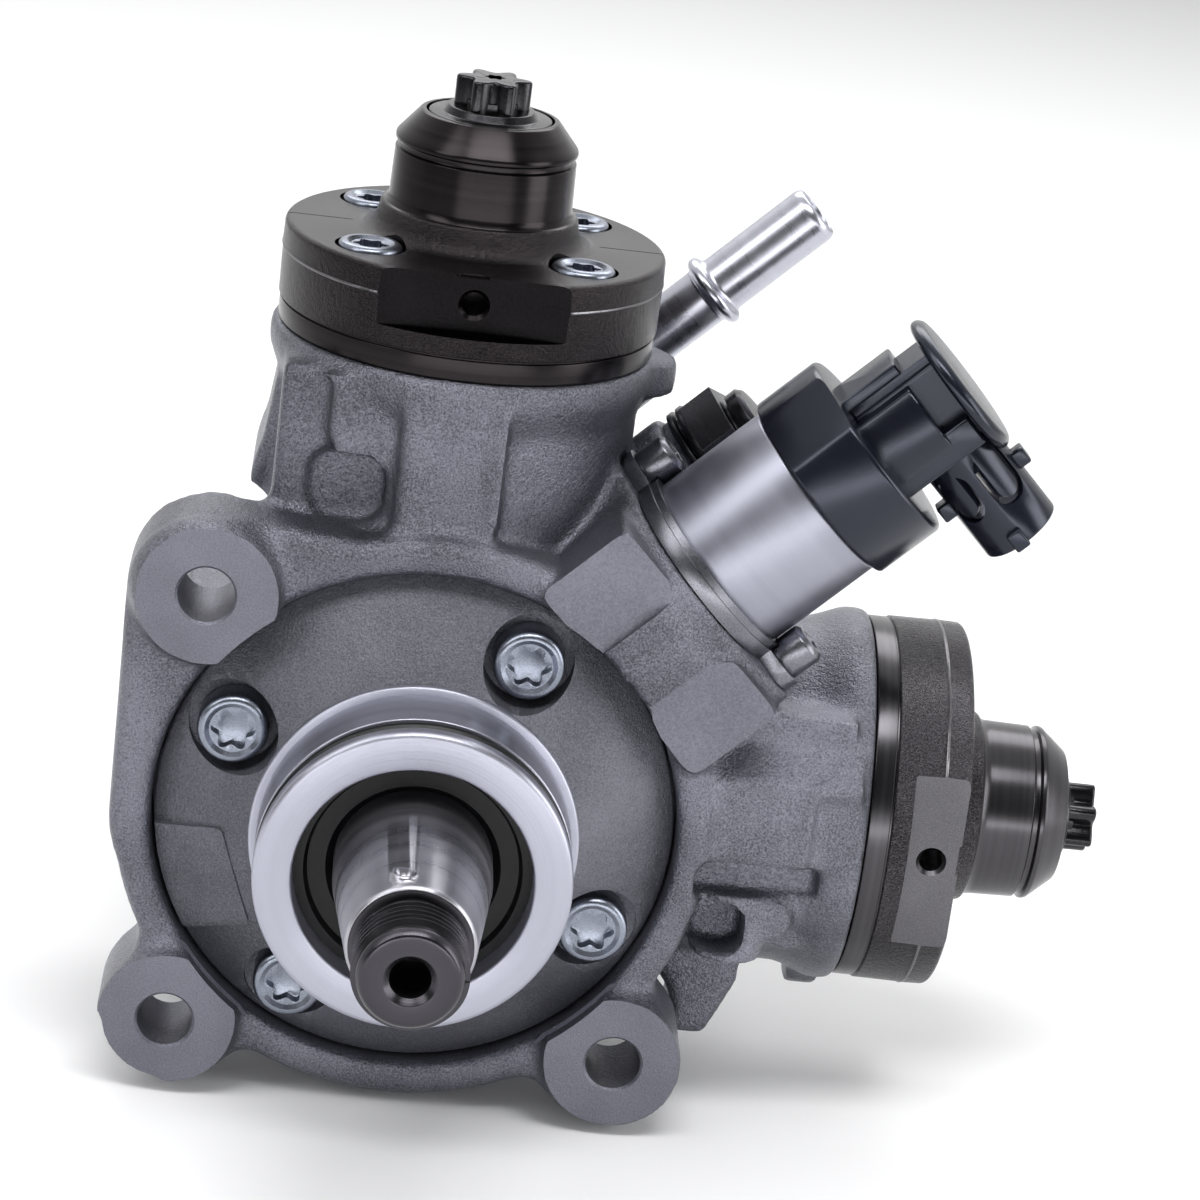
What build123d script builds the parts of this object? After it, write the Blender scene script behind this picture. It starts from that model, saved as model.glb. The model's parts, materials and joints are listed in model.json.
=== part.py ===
from build123d import *
import math
import os

# Two-cylinder diesel injection pump, cylinders at 90 degrees, millimetres.
# The drive shaft lies along Y with its threaded end towards -Y.  y = 0 is the
# plane of the lug faces, the upper cylinder points along +Z, the side one along +X.

# ---- driving dimensions -------------------------------------------------
running_gap = 0.04        # radial gap of a shaft or piston in its bore
fit_gap = 0.03            # gap round a piece that does not move
face_gap = 0.10           # axial gap of a part that turns between two faces
coil_runs = 12            # straight runs in one turn of a spring
screw_d = 6.0             # shank of the flange and head screws
screw_hole_d = 6.6        # their clearance holes

# front flange and mounting
pilot_d = 50.0            # locating diameter of the flange
pilot_front = -19.6       # front face of the pilot
pilot_chamfer = 1.1
pilot_groove_y = -15.2    # middle of the groove of the pilot O-ring
pilot_groove_w = 3.6
pilot_groove_depth = 2.3
hub_d = 52.6              # step behind the pilot
hub_front = -3.0
hub_step = 1.2            # length of that step
seal_bore_d = 37.6        # bore of the shaft seal
seal_seat_y = -8.0        # floor of the seal bore
seal_depth = 5.2          # how far the seal lies behind the pilot face
flange_edge_y = 7.2       # front of the flange at its rim
flange_seat_y = 13.0      # face on which the flange rests
flange_side_gap = 0.4
spigot_length = 9.0
flange_screw_edge = 8.8    # from the casing's mouth to the circle of the flange screws
spigot_edge = 5.5          # from the centring spigot to the same circle
flange_screw_angles = (63.4, 154.9, 238.7, 335.3)
flange_screw_head_d = 11.4
flange_screw_head_h = 6.0
flange_screw_length = 18.0
flange_drive_d = 7.2
screw_pocket_d = 14.6
screw_floor_y = 7.0       # floor of the screw pockets
screw_head_gap = 0.6      # least gap between a flange screw's head and the hub

# lugs
lug_offset = 36.6         # lug holes at +-this in X and Z
lug_hole_d = 9.0
lug_thickness = 16.5
lug_pad_d = 22.6
lug_pad_height = 3.5      # the pads stand this far ahead of the casing rim
lug_r = 12.3
lug_fillet = 4.0          # blend between a lug and the rim
lug_reach = 59.8          # the lower left lug is cut off at this radius from the shaft
lug_corner_r = 12.7       # larger corner of the upper lug

# casing
case_r = 48.3
mouth_d = 84.6            # mouth of the casing, round the flange
mouth_chamfer = 0.8
rim_round = 2.6           # rounding of the casing's front edge
case_length = 67.5
neck_barrel_d = 58.6      # cylinder necks
neck_rim_d = 63.0
neck_rim_h = 4.0
swell_h = 6.5             # swelling of the necks' outer sides
front_block_x = (-9.0, 6.9)   # block down the front of the upper neck
front_block_y = 6.9
panel_x = (-4.5, 5.5)     # shallow panel sunk in that block
panel_z = (40.0, 64.0)
panel_depth = 0.5
rib_y = 8.6               # front of the rib beside the upper neck
hollow_y = 14.0           # floor of the hollow between rib and block
brow_y = 10.5             # front of the swelling above the hollow
side_plate_z = (-1.8, 12.6)   # raised plate on the side neck
side_plate_y = 5.4
side_step_x = 63.5        # step in that plate
side_step_y = 1.1
side_plate_end = 71.7
block_pads = (-12.6, 14.6)    # middles of the pads beside the metering valve
block_pad_w = 12.4
block_pad_y = 2.2
block_pad_end = 57.6
rear_boss_d = 44.0
rear_boss_height = 3.0

# drive shaft
tip_y = -55.7
thread_d = 17.8
thread_length = 10.6
relief_d = 16.4
relief_w = 1.3
taper_small_d = 20.0
taper_ratio = 0.2         # diameter per length
taper_length = 24.0
seal_journal_d = 25.0
front_journal_d = 26.0
rear_journal_d = 22.0
rear_journal_length = 18.0
centre_hole_d = 6.3
centre_hole_depth = 11.0
centre_hole_bevel = 0.7
dimple_d = 3.4
dimple_depth = 0.7
dimple_y = -38.6

# cam and cylinders
cylinder_y = 38.0         # both cylinders lie in this plane
cam_width = 19.8
cam_base_r = 16.0
cam_lift = 6.0
cam_angle = 45.0          # angle of the lobes from +X at rest
roller_d = 16.0
roller_length = 17.0
roller_cam_gap = 0.1
thrust_width = 2.0
thrust_d = 40.0
bush_wall = 2.0
front_bush_length = 24.0
rear_bush_length = 17.0

tappet_d = 30.0
tappet_bottom_drop = 6.1  # tappet skirt below the roller centre
shoe_wall = 2.5
shoe_wrap = 3.0           # the shoe reaches this far below the roller centre
web_thickness = 2.9
cup_depth = 3.4
cup_wall = 2.5
plunger_d = 6.5
plunger_foot_d = 9.0
plunger_foot_height = 1.4
plate_thickness = 3.4
plate_cup_gap = 0.3
spring_wire_d = 2.8
spring_mean_d = 20.6
spring_turns = 4.6

# cylinder heads, heights from the shaft axis
head_seat = 73.4          # face of the neck
head_top = 89.5
head_d = 62.0
head_band_d = 61.0        # turned band at the bottom of the disc
head_band_h = 3.6
head_edge = 0.5
head_flat_depth = 4.0     # flat cut on the front of the disc
head_flat_bottom = 80.3
head_flat_hole_d = 4.0
head_flat_hole_depth = 9.0
head_spigot_d = 36.0
head_spigot_length = 9.4
barrel_d = 14.8
barrel_length = 14.0
plunger_top = 80.5
chamber_top = 84.0
tower_d = 29.4
tower_flare = 4.2
tower_groove_h = 103.0    # groove under the cone
tower_groove_w = 1.4
tower_groove_depth = 0.7
tower_top = 109.3
cone_top_d = 21.8
plug_d = 20.0
plug_thickness = 3.7
plug_slit = 0.2
valve_bore_d = 14.0
plug_thread_length = 6.5
plug_collar_d = 13.4
plug_collar_h = 1.0
spud_d = 11.0
spud_top = 116.0
spud_flute_d = 3.2
head_screw_x = 16.9
head_screw_y = 15.0
head_screw_pocket_d = 11.3
head_screw_head_d = 10.2
head_screw_length = 26.0
head_drive_d = 6.6
head_screw_pocket_depth = 3.8

# valves in the heads
seat_insert_h = 8.0
needle_stem_d = 3.0
needle_head_d = 5.8
needle_head_h = 1.3
needle_length = 14.0
retainer_d = 7.2
retainer_h = 1.2
retainer_drop = 0.7
inlet_wire_d = 0.8
outlet_duct_d = 2.0
outlet_axis_h = 82.2
outlet_seat_y = 12.0
outlet_chamber_d = 5.4
outlet_ball_d = 4.0
union_inner_y = 20.3
union_thread_d = 12.0
union_seat_y = 29.3
union_hex = 14.0
union_hex_h = 6.0
union_nose = 12.0
union_bore_d = 3.0
union_cone_d = 8.0
outlet_wire_d = 0.7

# metering valve, along the 45 degree line between the cylinders
metering_y = 20.0
metering_seat = 59.6
metering_bore_d = 17.9
metering_bore_bottom = 44.5
metering_stem_gap = 0.5
plate_h = 2.4
plate_collar_h = 1.2
plate_collar_d = 33.6
plate_boss_d = 36.0
metering_ear_d = 8.6
can_d = 30.7
can_length = 21.0
can_edge = 0.8
cap_d = 33.4
cap_length = 12.0
cap_flat = 15.2
cap_flat_angle = 215.0
neck_d = 20.0
neck_length = 15.0
neck_half_width = 8.6
end_disc_d = 24.8
end_disc_h = 2.4
socket_d = 13.4
socket_wall = 1.2
socket_reach = 26.0
socket_floor = 12.0
socket_height = 104.3
socket_slot_w = 3.0
terminal_w = 1.6
terminal_h = 0.8
terminal_length = 8.0
terminal_pitch = 4.4
metering_screw_r = 18.9
metering_screw_d = 4.0
metering_screw_head_d = 6.8
metering_screw_head_h = 5.6
metering_drive_d = 4.0
metering_screw_turn = 23.0
spool_d = 6.0
spool_length = 8.0
spool_travel = 2.0
metering_wire_d = 0.8

# overflow valve and inlet nipple, parallel to the metering valve
overflow_y = 48.0
overflow_x = -6.0
overflow_seat = 65.5
overflow_stem_d = 12.0
overflow_stem_length = 14.0
overflow_disc_d = 22.0
overflow_disc_h = 2.7
overflow_hex = 19.0
overflow_hex_h = 6.2
overflow_head_d = 15.4
overflow_head_h = 3.6
overflow_piston_d = 6.0
overflow_piston_length = 7.0
overflow_travel = 2.5
overflow_wire_d = 0.9
nipple_y = 62.0
nipple_x = -26.1
nipple_d = 9.9
nipple_bore_d = 7.2
nipple_seat = 66.0
nipple_depth = 9.0
nipple_tip = 106.8
nipple_bead_h = 84.8
nipple_bead_d = 13.0
nipple_bead_w = 2.4

# ---- values that follow ---------------------------------------------------
rim_y = lug_pad_height
rear_y = rim_y + case_length
pilot_r = pilot_d / 2
hub_r = hub_d / 2
flange_r = mouth_d / 2 - flange_side_gap
flange_screw_r = mouth_d / 2 - flange_screw_edge
spigot_d = 2 * (flange_screw_r - spigot_edge)
cavity_d = spigot_d + 2 * fit_gap
spigot_end = flange_seat_y + spigot_length
cam_front = cylinder_y - cam_width / 2
cam_rear = cylinder_y + cam_width / 2
thrust_front = cam_front - face_gap
thrust_rear = cam_rear + face_gap
front_wall = thrust_front - thrust_width
rear_wall = thrust_rear + thrust_width
thread_end = tip_y + thread_length
taper_start = thread_end + relief_w
taper_end = taper_start + taper_length
taper_big_d = taper_small_d + taper_ratio * taper_length
rear_end = rear_wall + rear_journal_length
roller_r = roller_d / 2
roller_h = cam_base_r + cam_lift + roller_r + roller_cam_gap
shoe_r = roller_r + running_gap + shoe_wall
web_bottom = roller_h + shoe_r + fit_gap
web_top = web_bottom + web_thickness
tappet_bottom = roller_h - tappet_bottom_drop
tappet_top = web_top + cup_depth
cup_r = tappet_d / 2 - cup_wall
plate_top = web_top + plate_thickness
head_spigot_bottom = head_seat - head_spigot_length
barrel_bottom = head_spigot_bottom - barrel_length
plug_floor = tower_top - plug_thickness
plug_thread_bottom = plug_floor - plug_thread_length
insert_top = chamber_top + seat_insert_h
plunger_bore_d = plunger_d + 2 * running_gap
can_start = metering_seat + plate_h
can_end = can_start + can_length
cap_end = can_end + cap_length
neck_end = cap_end + neck_length
overflow_flange = overflow_seat + 1.3
overflow_hex_start = overflow_flange + overflow_disc_h
overflow_head_start = overflow_hex_start + overflow_hex_h
overflow_end = overflow_head_start + overflow_head_h

# ---- frames: local z runs out along the named axis, local y is the part's +Y -
shaft_frame = Plane(origin=(0, 0, 0), x_dir=(1, 0, 0), z_dir=(0, 1, 0)).location
upper_frame = Plane(origin=(0, cylinder_y, 0), x_dir=(1, 0, 0), z_dir=(0, 0, 1)).location
side_frame = Plane(origin=(0, cylinder_y, 0), x_dir=(0, 0, -1), z_dir=(1, 0, 0)).location
metering_frame = Plane(origin=(0, metering_y, 0), x_dir=(1, 0, -1), z_dir=(1, 0, 1)).location
overflow_frame = Plane(origin=(0, overflow_y, 0), x_dir=(1, 0, -1), z_dir=(1, 0, 1)).location * Pos(overflow_x, 0, 0)
nipple_frame = Plane(origin=(0, nipple_y, 0), x_dir=(1, 0, -1), z_dir=(1, 0, 1)).location * Pos(nipple_x, 0, 0)


# ---- helpers ----------------------------------------------------------------
def turned(frame, points):
    """Solid of revolution about the frame's axis from (radius, height) points."""
    outline = make_face(Polyline([(r, 0, h) for r, h in points], close=True))
    return frame * revolve(outline, Axis.Z, 360)


def rod(frame, diameter, start, end):
    """Cylinder along the frame's axis."""
    body = Cylinder(diameter / 2, end - start, align=(Align.CENTER, Align.CENTER, Align.MIN))
    return frame * Pos(0, 0, start) * body


def ring(frame, outer_d, inner_d, start, end):
    """Plain ring along the frame's axis."""
    return rod(frame, outer_d, start, end) - rod(frame, inner_d, start - 1, end + 1)


def prism(frame, sketch, start, end):
    """Sketch extruded along the frame's axis."""
    return frame * Pos(0, 0, start) * extrude(sketch, end - start)


def o_ring(frame, outer_d, thickness, middle):
    """Ring seal with an eight-sided section."""
    r = outer_d / 2
    t = thickness / 2
    c = 0.6 * t
    return turned(frame, [
        (r, middle - t + c), (r, middle + t - c), (r - c, middle + t), (r - 2 * t + c, middle + t),
        (r - 2 * t, middle + t - c), (r - 2 * t, middle - t + c), (r - 2 * t + c, middle - t), (r - c, middle - t),
    ])


def coil(frame, mean_d, wire_d, start, end, turns):
    """Compression spring that fills the length from start to end, in short straight runs."""
    runs = round(coil_runs * turns)
    rise = (end - start - wire_d) / runs
    wire = Rot(90, 0, 0) * RegularPolygon(wire_d / 2, 6)
    sections = []
    for i in range(runs + 1):
        height = start + wire_d / 2 + rise * i
        sections.append(Rot(0, 0, 360 * turns * i / runs) * Pos(mean_d / 2, 0, height) * wire)
    return frame * loft(sections, ruled=True)


def star(outer_d, inner_d):
    """Six-pointed outline of a screw's drive."""
    points = []
    for i in range(12):
        r = outer_d / 2 if i % 2 == 0 else inner_d / 2
        points.append((r * math.cos(math.pi * i / 6), r * math.sin(math.pi * i / 6)))
    return Polygon(*points, align=None)


def lobes(outer_d, flute_d):
    """Six-lobed outline with round flutes."""
    flutes = PolarLocations(outer_d / 2 + 0.12 * flute_d, 6) * Circle(flute_d / 2)
    return Circle(outer_d / 2) - flutes


def lobe_screw(head_d, head_h, shank_d, length, drive_d):
    """Six-lobe screw; its head's seat is z = 0 and the shank runs to -length."""
    head = turned(Location(), [
        (0, -length + 0.5), (shank_d / 2 - 0.5, -length), (shank_d / 2, -length + 0.5), (shank_d / 2, 0),
        (head_d / 2, 0), (head_d / 2, head_h - 0.8), (head_d / 2 - 0.8, head_h), (0, head_h),
    ])
    drive = Pos(0, 0, 0.4 * head_h) * extrude(star(drive_d, 0.72 * drive_d), head_h)
    return head - drive


def hexagon(across_flats):
    """Hexagon sketch by its width across flats."""
    return RegularPolygon(across_flats / 2, 6, major_radius=False)


# ---- casing -----------------------------------------------------------------
def outward(angle):
    """Frame on the shaft axis turned so that local x points at this angle from +X to +Z."""
    return shaft_frame * Rot(0, 0, -angle)


def lug_point(sx, sz):
    """Lug centre as seen in the shaft frame, whose local y is the part's -Z."""
    return (sx * lug_offset, -sz * lug_offset)


def casing_neck(frame):
    """Cylinder neck that carries one head, with its rim and the swelling of its outer side."""
    neck = rod(frame, neck_barrel_d, 20, head_seat - 1)
    neck += turned(frame, [
        (0, head_seat - 12), (neck_barrel_d / 2 - 1, head_seat - 12), (neck_rim_d / 2, head_seat - neck_rim_h),
        (neck_rim_d / 2, head_seat - 0.8), (neck_rim_d / 2 - 0.8, head_seat), (0, head_seat),
    ])
    swell = Pos(neck_rim_d / 2 - 4, 0) * Circle(7.5)
    neck += prism(frame, make_hull((swell + Circle(15)).edges()), head_seat - swell_h, head_seat - 0.8)
    return neck


def front_plate():
    """Ring round the flange with its three lugs, rounded along its front edge."""
    upper_lug = Pos(*lug_point(-1.0, 0.98)) * Circle(lug_corner_r)
    plate = make_hull((upper_lug + Pos(-29.5, 3) * Circle(case_r - 28.9)).edges())
    plate += make_hull((upper_lug + Pos(-14, -29.5) * Circle(17)).edges())
    for sx, sz in ((-1, -1), (1, -1)):
        lug = Pos(*lug_point(0.97 * sx, 1.01 * sz)) * Circle(lug_r)
        plate += make_hull((lug + Pos(*lug_point(0.6 * sx, 0.6 * sz)) * Circle(lug_r)).edges())
    plate += Circle(case_r)
    corners = [v for v in plate.vertices() if abs(math.hypot(v.X, v.Y) - case_r) < 0.01 and v.Y > 1]
    plate = fillet(corners, lug_fillet)
    plate &= Circle(lug_reach) + Pos(*lug_point(-1, 1)) * Circle(2 * lug_r) + Pos(*lug_point(1, -1)) * Circle(2 * lug_r)
    solid = prism(shaft_frame, plate, rim_y, lug_thickness)
    front = solid.faces().sort_by(Axis.Y)[0]
    solid = fillet(front.outer_wire().edges(), rim_round)
    for sx, sz in ((-1, 1), (-1, -1), (1, -1)):
        lug = shaft_frame * Pos(*lug_point(sx, sz), 0)
        pad = rod(lug, lug_pad_d, 0, lug_thickness)
        pad += turned(lug, [(0, 0), (lug_pad_d / 2, 0), (lug_pad_d / 2 + 1.5, rim_y + 1), (0, rim_y + 1)])
        solid += pad & prism(shaft_frame, plate, 0, lug_thickness)
    return solid


def front_form(outline, front, depth):
    """Form on the front of the casing: an (x, z) outline whose face is at y = front, and depth to the rear."""
    return Plane(origin=(0, front + depth, 0), x_dir=(1, 0, 0), z_dir=(0, -1, 0)).location * extrude(outline, depth)


def front_rect(x, z):
    """Rectangle between two x and two z values."""
    return Pos((x[0] + x[1]) / 2, (z[0] + z[1]) / 2) * Rectangle(x[1] - x[0], z[1] - z[0])


def upper_front():
    """Block with its sunk panel, rib and hollow on the front of the upper neck."""
    below_head = head_seat - 2
    block = front_rect(front_block_x, (30, below_head))
    body = front_form(block, front_block_y, 20) - front_form(front_rect(panel_x, panel_z), front_block_y, panel_depth)
    rib = Polygon((-33.5, 36), (-31.8, 50), (-30.7, 54), (-28.7, below_head), (-27.4, below_head), (-23.2, 58), (-23.2, 47),
                  (-25, 36), align=None)
    body += front_form(rib, rib_y, 22)
    body += front_form(front_rect((-28.4, -8.0), (40, below_head)), hollow_y, 14)
    brow = Polygon((-22.5, below_head), (-21, 63), (-18.5, 57.5), (-13, 57.5), (-10, 54), (-8, 54), (-8, below_head), align=None)
    body += front_form(brow, brow_y, 10)
    sill = Polygon((-26, 36), (-26, 47.6), (-11, 48.6), (-8, 50.5), (-8, 36), align=None)
    body += front_form(sill, rib_y + 1, 20)
    return body


def side_front():
    """Raised plate on the front of the side neck, the bosses in the hollow below it and the sill of that hollow."""
    low, high = side_plate_z
    body = front_form(front_rect((40, side_step_x), side_plate_z), side_plate_y, 22)
    tab = fillet(front_rect((side_step_x - 2, side_plate_end), side_plate_z).vertices(), 1.5)
    body += front_form(tab, side_plate_y + side_step_y, 20)
    slope = Polygon((40, high), (side_plate_end - 1, high), (side_plate_end - 2, high + 10), (40, high + 10), align=None)
    body += front_form(slope, side_plate_y + 6, 16)
    boss = Pos(53.5, 12.5, -20) * Cylinder(6.2, 12, align=(Align.CENTER, Align.CENTER, Align.MIN))
    body += fillet(boss.edges().sort_by(Axis.Z)[-1:], 1.0)
    body += Pos(63.0, 13.0, -15.5) * Rot(90, 0, 0) * Cylinder(3.8, 20, align=(Align.CENTER, Align.CENTER, Align.MAX))
    sill = Polygon((40, -21.5), (55.5, -19.2), (57.4, -20.5), (57.4, -30), (53, -40), (40, -40), align=None)
    body += front_form(sill, side_plate_y, 16)
    return body


def metering_block(screw_x, screw_y):
    """Block of the metering valve between the necks, with its two machined pads."""
    frame = metering_frame
    ears = Pos(screw_x, -screw_y) * Circle(metering_ear_d / 2 + 1) + Pos(-screw_x, screw_y) * Circle(metering_ear_d / 2 + 1)
    body = prism(frame, make_hull((Circle(plate_boss_d / 2) + ears).edges()), 34, metering_seat)
    body += rod(frame, plate_boss_d + 2.6, 34, metering_seat - 5)
    for middle in block_pads:
        pad = Pos(middle, block_pad_y - metering_y + 25) * Rectangle(block_pad_w, 50)
        flat = prism(frame, pad, 40.5, block_pad_end)
        body += fillet(flat.faces().sort_by(Axis.Y)[0].edges().filter_by(Axis.Y, reverse=True), 0.6)
    body += prism(frame, Pos(0, 22) * Rectangle(34, 50), 30, metering_seat - 8)
    return body


def drill_outlet(body, port, reach):
    """Body with the stepped bore of an outlet along port, out to reach beyond the head."""
    body -= rod(port, outlet_chamber_d, outlet_seat_y, union_inner_y)
    body -= rod(port, union_thread_d + 2 * fit_gap, union_inner_y, union_seat_y + 1)
    return body - rod(port, union_hex * 2 / math.sqrt(3) + 1.2, union_seat_y, head_d / 2 + reach)


def make_casing():
    frame = shaft_frame
    screw_x = metering_screw_r * math.cos(math.radians(metering_screw_turn))
    screw_y = metering_screw_r * math.sin(math.radians(metering_screw_turn))
    body = rod(frame, 2 * case_r, rim_y + rim_round, rear_y)
    body += rod(frame, rear_boss_d, rear_y - 1, rear_y + rear_boss_height)
    body += front_plate()
    body += casing_neck(upper_frame)
    body += casing_neck(side_frame)
    body += upper_front()
    body += side_front()
    body += metering_block(screw_x, screw_y)

    # bosses of the overflow valve and the inlet nipple
    body += rod(overflow_frame, overflow_disc_d + 1, 30, overflow_seat)
    body += rod(nipple_frame, nipple_d + 7, 34, nipple_seat)

    # mouth, flange seat, cam chamber and shaft bores
    body -= rod(frame, mouth_d, 0 - 1, flange_seat_y)
    body -= turned(frame, [(0, rim_y - 0.1), (mouth_d / 2 + mouth_chamfer, rim_y - 0.1), (mouth_d / 2, rim_y + mouth_chamfer), (0, rim_y + 1)])
    body -= rod(frame, cavity_d, flange_seat_y - 1, rear_wall)
    body -= rod(frame, rear_journal_d + 2 * bush_wall + 2 * fit_gap, rear_wall - 1, rear_wall + rear_bush_length)
    body -= rod(frame, rear_journal_d + 1, rear_wall, rear_end + 1)
    for angle in flange_screw_angles:
        body -= rod(outward(angle) * Pos(flange_screw_r, 0, 0), screw_d + 2 * fit_gap, flange_seat_y - 1, flange_seat_y + 14)

    # lug holes, with clear space behind the lugs
    for sx, sz in ((-1, 1), (-1, -1), (1, -1)):
        lug = frame * Pos(*lug_point(sx, sz), 0)
        body -= rod(lug, lug_hole_d, -1, lug_thickness + 30)
        body -= rod(lug, lug_pad_d - 2, lug_thickness, rear_y + 5)

    # cylinder bores
    for cyl in (upper_frame, side_frame):
        body -= rod(cyl, tappet_d + 2 * running_gap, tappet_bottom - cam_lift, head_spigot_bottom)
        body -= rod(cyl, head_spigot_d + 2 * fit_gap, head_spigot_bottom - 0.2, head_seat + 1)
        for sx in (-1, 1):
            for sy in (-1, 1):
                hole = cyl * Pos(sx * head_screw_x, sy * head_screw_y, 0)
                body -= rod(hole, screw_d + 2 * fit_gap, head_seat - 16, head_seat + 1)

    # clear space over the plate of the metering valve and its screws
    relief = make_hull((Circle(plate_collar_d / 2 + 1.2) + Pos(screw_x, -screw_y) * Circle(metering_ear_d / 2 + 0.6)
                        + Pos(-screw_x, screw_y) * Circle(metering_ear_d / 2 + 0.6)).edges())
    body -= prism(metering_frame, relief, metering_seat, metering_seat + 30)

    # clear space round the outlet valves, the outlet unions and their hexagons
    for cyl in (upper_frame, side_frame):
        body = drill_outlet(body, cyl * Pos(0, 0, outlet_axis_h) * Rot(-90, 0, 0), 24)

    # valve and nipple bores
    body -= rod(metering_frame, metering_bore_d, metering_bore_bottom, metering_seat + 1)
    for side in (-1, 1):
        hole = metering_frame * Pos(side * screw_x, -side * screw_y, 0)
        body -= rod(hole, metering_screw_d + 2 * fit_gap, metering_seat - 10, metering_seat + 1)
    body -= rod(overflow_frame, overflow_stem_d + 2 * fit_gap, overflow_seat - overflow_stem_length - 0.5, overflow_seat + 1)
    body -= rod(nipple_frame, nipple_d + 2 * fit_gap, nipple_seat - nipple_depth - 0.2, nipple_seat + 1)
    return body


def make_flange():
    bush_d = front_journal_d + 2 * bush_wall + 2 * fit_gap
    slope = (flange_edge_y - hub_front - hub_step) / (flange_r - hub_r)
    groove = (pilot_groove_y - pilot_groove_w / 2, pilot_groove_y + pilot_groove_w / 2)
    seal_groove = (flange_seat_y + 2.5, flange_seat_y + 5.5)
    body = turned(shaft_frame, [
        (seal_bore_d / 2 + 0.6, pilot_front), (pilot_r - pilot_chamfer, pilot_front), (pilot_r, pilot_front + pilot_chamfer),
        (pilot_r, groove[0]), (pilot_r - pilot_groove_depth, groove[0]),
        (pilot_r - pilot_groove_depth, groove[1]), (pilot_r, groove[1]),
        (pilot_r, hub_front), (hub_r - 0.4, hub_front), (hub_r, hub_front + 0.4), (hub_r, hub_front + hub_step),
        (flange_r, flange_edge_y), (flange_r, flange_seat_y), (spigot_d / 2, flange_seat_y),
        (spigot_d / 2, seal_groove[0]), (spigot_d / 2 - 1.8, seal_groove[0]),
        (spigot_d / 2 - 1.8, seal_groove[1]), (spigot_d / 2, seal_groove[1]),
        (spigot_d / 2, spigot_end), (thrust_d / 2, spigot_end), (thrust_d / 2, front_wall),
        (bush_d / 2, front_wall), (bush_d / 2, front_wall - front_bush_length - 0.5),
        (front_journal_d / 2 + 0.6, front_wall - front_bush_length - 0.5), (front_journal_d / 2 + 0.6, seal_seat_y),
        (seal_bore_d / 2, seal_seat_y), (seal_bore_d / 2, pilot_front + 0.6),
    ])
    pad_r = hub_r + 0.6 * (flange_r - hub_r)
    pad_front = flange_edge_y - slope * (flange_r - pad_r)
    pad = Polygon((-41.0, -1.0), (-28.5, -1.0), (-24.5, 14.0), (-36.0, 17.0), align=None)
    body += prism(shaft_frame, pad, pad_front, flange_seat_y - 1) & rod(shaft_frame, 2 * flange_r, pad_front, flange_seat_y)
    kept_r = min(hub_r, flange_screw_r - flange_screw_head_d / 2 - screw_head_gap)   # what the pockets leave of the hub
    for angle in flange_screw_angles:
        spot = outward(angle) * Pos(flange_screw_r, 0, 0)
        pocket = rod(spot, screw_pocket_d, hub_front - 2, screw_floor_y)
        body -= pocket - rod(shaft_frame, 2 * kept_r, pilot_front, flange_seat_y)
        body -= rod(spot, screw_hole_d, screw_floor_y - 1, spigot_end + 1)
    return body


def make_shaft():
    body = turned(shaft_frame, [
        (0, tip_y), (thread_d / 2 - 1.4, tip_y), (thread_d / 2, tip_y + 1.4), (thread_d / 2, thread_end),
        (relief_d / 2, thread_end), (relief_d / 2, taper_start), (taper_small_d / 2 - 0.3, taper_start),
        (taper_small_d / 2, taper_start + 0.3), (taper_big_d / 2, taper_end), (seal_journal_d / 2, taper_end + 0.5),
        (seal_journal_d / 2, seal_seat_y + 4), (front_journal_d / 2, seal_seat_y + 5), (front_journal_d / 2, cam_front + 0.01),
        (rear_journal_d / 2, cam_front + 0.01), (rear_journal_d / 2, rear_end - 0.5), (rear_journal_d / 2 - 0.5, rear_end), (0, rear_end),
    ])
    body -= turned(shaft_frame, [
        (0, tip_y - 1), (centre_hole_d / 2 + centre_hole_bevel + 1, tip_y - 1), (centre_hole_d / 2, tip_y + centre_hole_bevel),
        (centre_hole_d / 2, tip_y + centre_hole_depth), (0, tip_y + centre_hole_depth + centre_hole_d / 3),
    ])
    dimple_z = taper_small_d / 2 + taper_ratio / 2 * (dimple_y - taper_start)
    body -= Pos(0, dimple_y, dimple_z + 0.2) * Cylinder(dimple_d / 2, 2 * dimple_depth)
    return body + make_cam()


def make_cam():
    """Two-lobed cam, the inner parallel of the path that the roller centre follows."""
    steps = 40
    points = []
    for i in range(steps):
        a = 2 * math.pi * i / steps
        r = cam_base_r + roller_r + cam_lift * math.cos(a) ** 2
        dr = -cam_lift * math.sin(2 * a)
        px, py = r * math.cos(a), r * math.sin(a)
        tx, ty = dr * math.cos(a) - r * math.sin(a), dr * math.sin(a) + r * math.cos(a)
        t = math.hypot(tx, ty)
        points.append((px - roller_r * ty / t, py + roller_r * tx / t))
    outline = make_face(Spline(points, periodic=True))
    return outward(cam_angle) * Pos(0, 0, cam_front) * extrude(outline, cam_width)


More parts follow.
